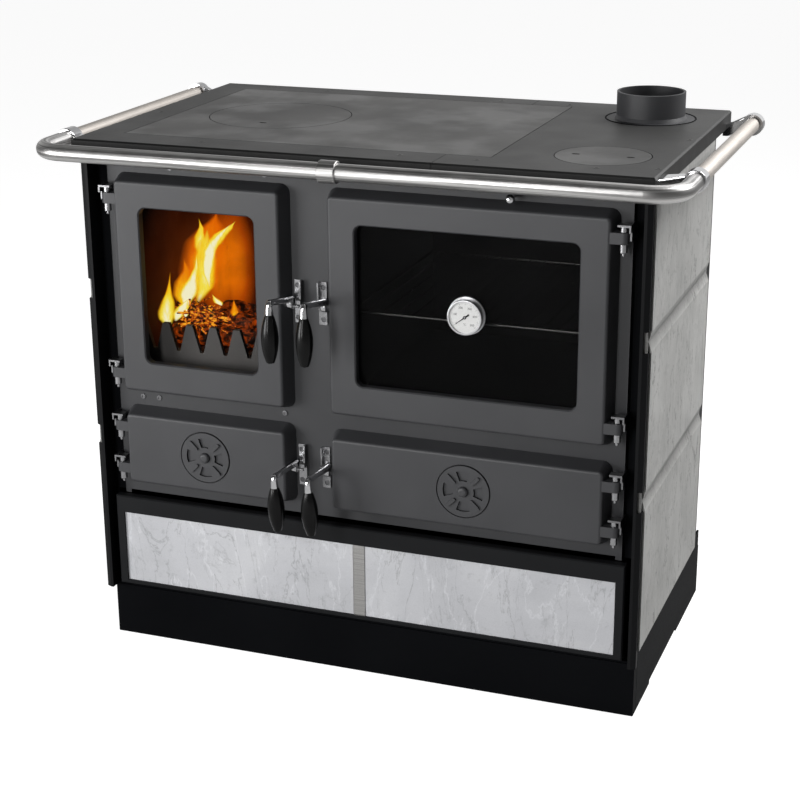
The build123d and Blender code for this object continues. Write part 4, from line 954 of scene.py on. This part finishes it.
# %% [markdown]
# ## The studio
# A dark stove is lit by what it reflects. The world is a studio with bright walls and a
# dark ceiling, and Light Path tells who looks at it. It is a weak fill for the light
# itself and full strength for the camera and through glass. Mirrors see it brightest
# behind the stove, which the hob and the rail reflect, and dimmer in front and on the
# left, so the doors stay dark.

# %% Who sees what
scene = bpy.context.scene
scene.view_settings.view_transform = "Standard"
FILL, WALLS_MIRRORED, FLOOR_MIRRORED = 0.06, 0.92, 0.34
FRONT_SHARE, LEFT_SHARE, LEFT_FROM = 0.32, 0.60, -0.6


def seen_by(tree, glossy):
    """1 for camera and glass rays, the given number for mirror rays, 0 for the light itself."""
    path = add(tree, "LightPath").outputs
    result = maths(tree, "MULTIPLY", path["Is Glossy Ray"], glossy)
    for ray in ("Is Camera Ray", "Is Transmission Ray"):
        result = maths(tree, "MAXIMUM", result, path[ray])
    return result


# %% The world
def studio_world():
    world = bpy.data.worlds.new("studio")
    world.use_nodes = True
    tree = world.node_tree
    tree.nodes.clear()
    direction = axes(tree, add(tree, "TexCoord").outputs["Generated"])
    walls = ramp(tree, direction["Z"], [(0.0, 1.0), (0.22, 1.0), (0.45, 0.60), (0.8, 0.35)])
    from_front = ramp(tree, direction["Y"], [(0.0, FRONT_SHARE), (0.5, 1.0)])
    from_left = ramp(tree, between(tree, direction["X"], 0.0, 1.0, LEFT_FROM, 0.0),
                     [(0.0, LEFT_SHARE), (1.0, 1.0)])
    fill, mirrored, seen = (add(tree, "Background") for _ in range(3))
    for background, strength in ((fill, FILL), (mirrored, WALLS_MIRRORED), (seen, 1.0)):
        background.inputs["Strength"].default_value = strength
    tree.links.new(darken(tree, walls, from_front, from_left), mirrored.inputs["Color"])
    tree.links.new(walls, seen.inputs["Color"])
    is_mirror = add(tree, "LightPath").outputs["Is Glossy Ray"]
    surface = fill.outputs[0]
    for factor, background in ((is_mirror, mirrored), (seen_by(tree, 0.0), seen)):
        mix = add(tree, "MixShader")
        for value, socket in zip((factor, surface, background.outputs[0]), mix.inputs):
            tree.links.new(value, socket)
        surface = mix.outputs[0]
    tree.links.new(surface, add(tree, "OutputWorld").inputs["Surface"])
    return world


scene.world = studio_world()
print("world:", scene.world.name, "fill", FILL, "walls in mirrors", WALLS_MIRRORED)

# %% [markdown]
# Painted iron shows a lamp as a soft patch, so each lamp is there for one surface. A tall
# one stands in front, a low card at the left front puts a sheen on the paint that fades
# towards the right, and a lamp far round at the right back lights the stone side without
# reaching the doors' flanks. A weak one overhead lifts the hob.

# %% The lamps
def lamp(name, place, target, width, height, watts):
    data = bpy.data.lights.new(name, "AREA")
    data.shape, data.size, data.size_y, data.energy = "RECTANGLE", width, height, watts
    lamp_object = bpy.data.objects.new(name, data)
    lamp_object.location = place
    aim = Vector(target) - Vector(place)
    lamp_object.rotation_euler = aim.to_track_quat("-Z", "Y").to_euler()
    scene.collection.objects.link(lamp_object)
    print(name, "brightness", round(watts / (math.pi * width * height), 2))
    return lamp_object


lamp("tall_front", (-0.70, -3.3, 1.45), (0.0, -0.2, 0.8), 0.55, 2.2, 55)
lamp("low_left_card", (-2.5, -2.5, 0.8), (0.0, 0.0, 0.45), 1.6, 1.4, 86)
lamp("right_back", (1.75, 1.1, 2.5), (0.45, 0.05, 0.95), 1.4, 1.4, 88)
lamp("ceiling", (0.5, 0.9, 3.2), (0.0, 0.1, 0.85), 1.4, 1.4, 9)

# %% [markdown]
# ## The floor
# The floor is a single large grid. It should look white yet stay out of the way: a white
# floor throws light on every underside and greys the plinth. So its own colour is a mid
# grey, which takes the stove's shadow, and an emission for camera and mirror rays lifts
# it to white.

# %% The floor
FLOOR_HALF, FLOOR_GLOW = 30.0, 0.93


def pale_floor():
    bm = bmesh.new()
    bmesh.ops.create_grid(bm, x_segments=1, y_segments=1, size=FLOOR_HALF)
    mesh = bpy.data.meshes.new("floor")
    bm.to_mesh(mesh)
    bm.free()
    floor = bpy.data.objects.new("floor", mesh)
    scene.collection.objects.link(floor)
    finish, tree, place = new_finish("pale_floor")
    feed(tree, {
        "Base Color": ramp(tree, grain(tree, place, 300, detail=2), [(0.0, 0.30), (1.0, 0.33)]),
        "Roughness": 0.9,
        "Specular IOR Level": 0.05,
        "Emission Strength": between(tree, seen_by(tree, FLOOR_MIRRORED), 0.0, FLOOR_GLOW),
        "Emission Color": (1, 1, 1, 1)})
    mesh.materials.append(finish)
    return floor


pale_floor()
print("floor", 2 * FLOOR_HALF, "m square, glow", FLOOR_GLOW)

# %% [markdown]
# ## The camera
# The camera stands where the photograph's lines meet when they are traced back: in front
# of the stove, to its right, and half a metre above the hob. Its turn is given as yaw,
# pitch and a small roll, which is easier to check than a matrix.

# %% Camera
CAMERA_PLACE = Vector((0.97375, -2.63915, 1.36778))
YAW, PITCH, ROLL = 20.477, -19.046, -0.389
SENSOR = 36.0
PIXELS_WIDE, FOCAL_PIXELS = 800, 1797.49


def photo_camera():
    data = bpy.data.cameras.new("camera")
    data.sensor_width = SENSOR
    data.lens = FOCAL_PIXELS / PIXELS_WIDE * SENSOR
    camera = bpy.data.objects.new("camera", data)
    aim = Euler((math.radians(90 + PITCH), 0, math.radians(YAW))).to_matrix()
    tilt = Matrix.Rotation(math.radians(ROLL), 3, "Z")
    camera.matrix_world = Matrix.Translation(CAMERA_PLACE) @ (aim @ tilt).to_4x4()
    scene.collection.objects.link(camera)
    scene.camera = camera
    return camera


camera = photo_camera()
print("lens", round(camera.data.lens, 3), "mm")
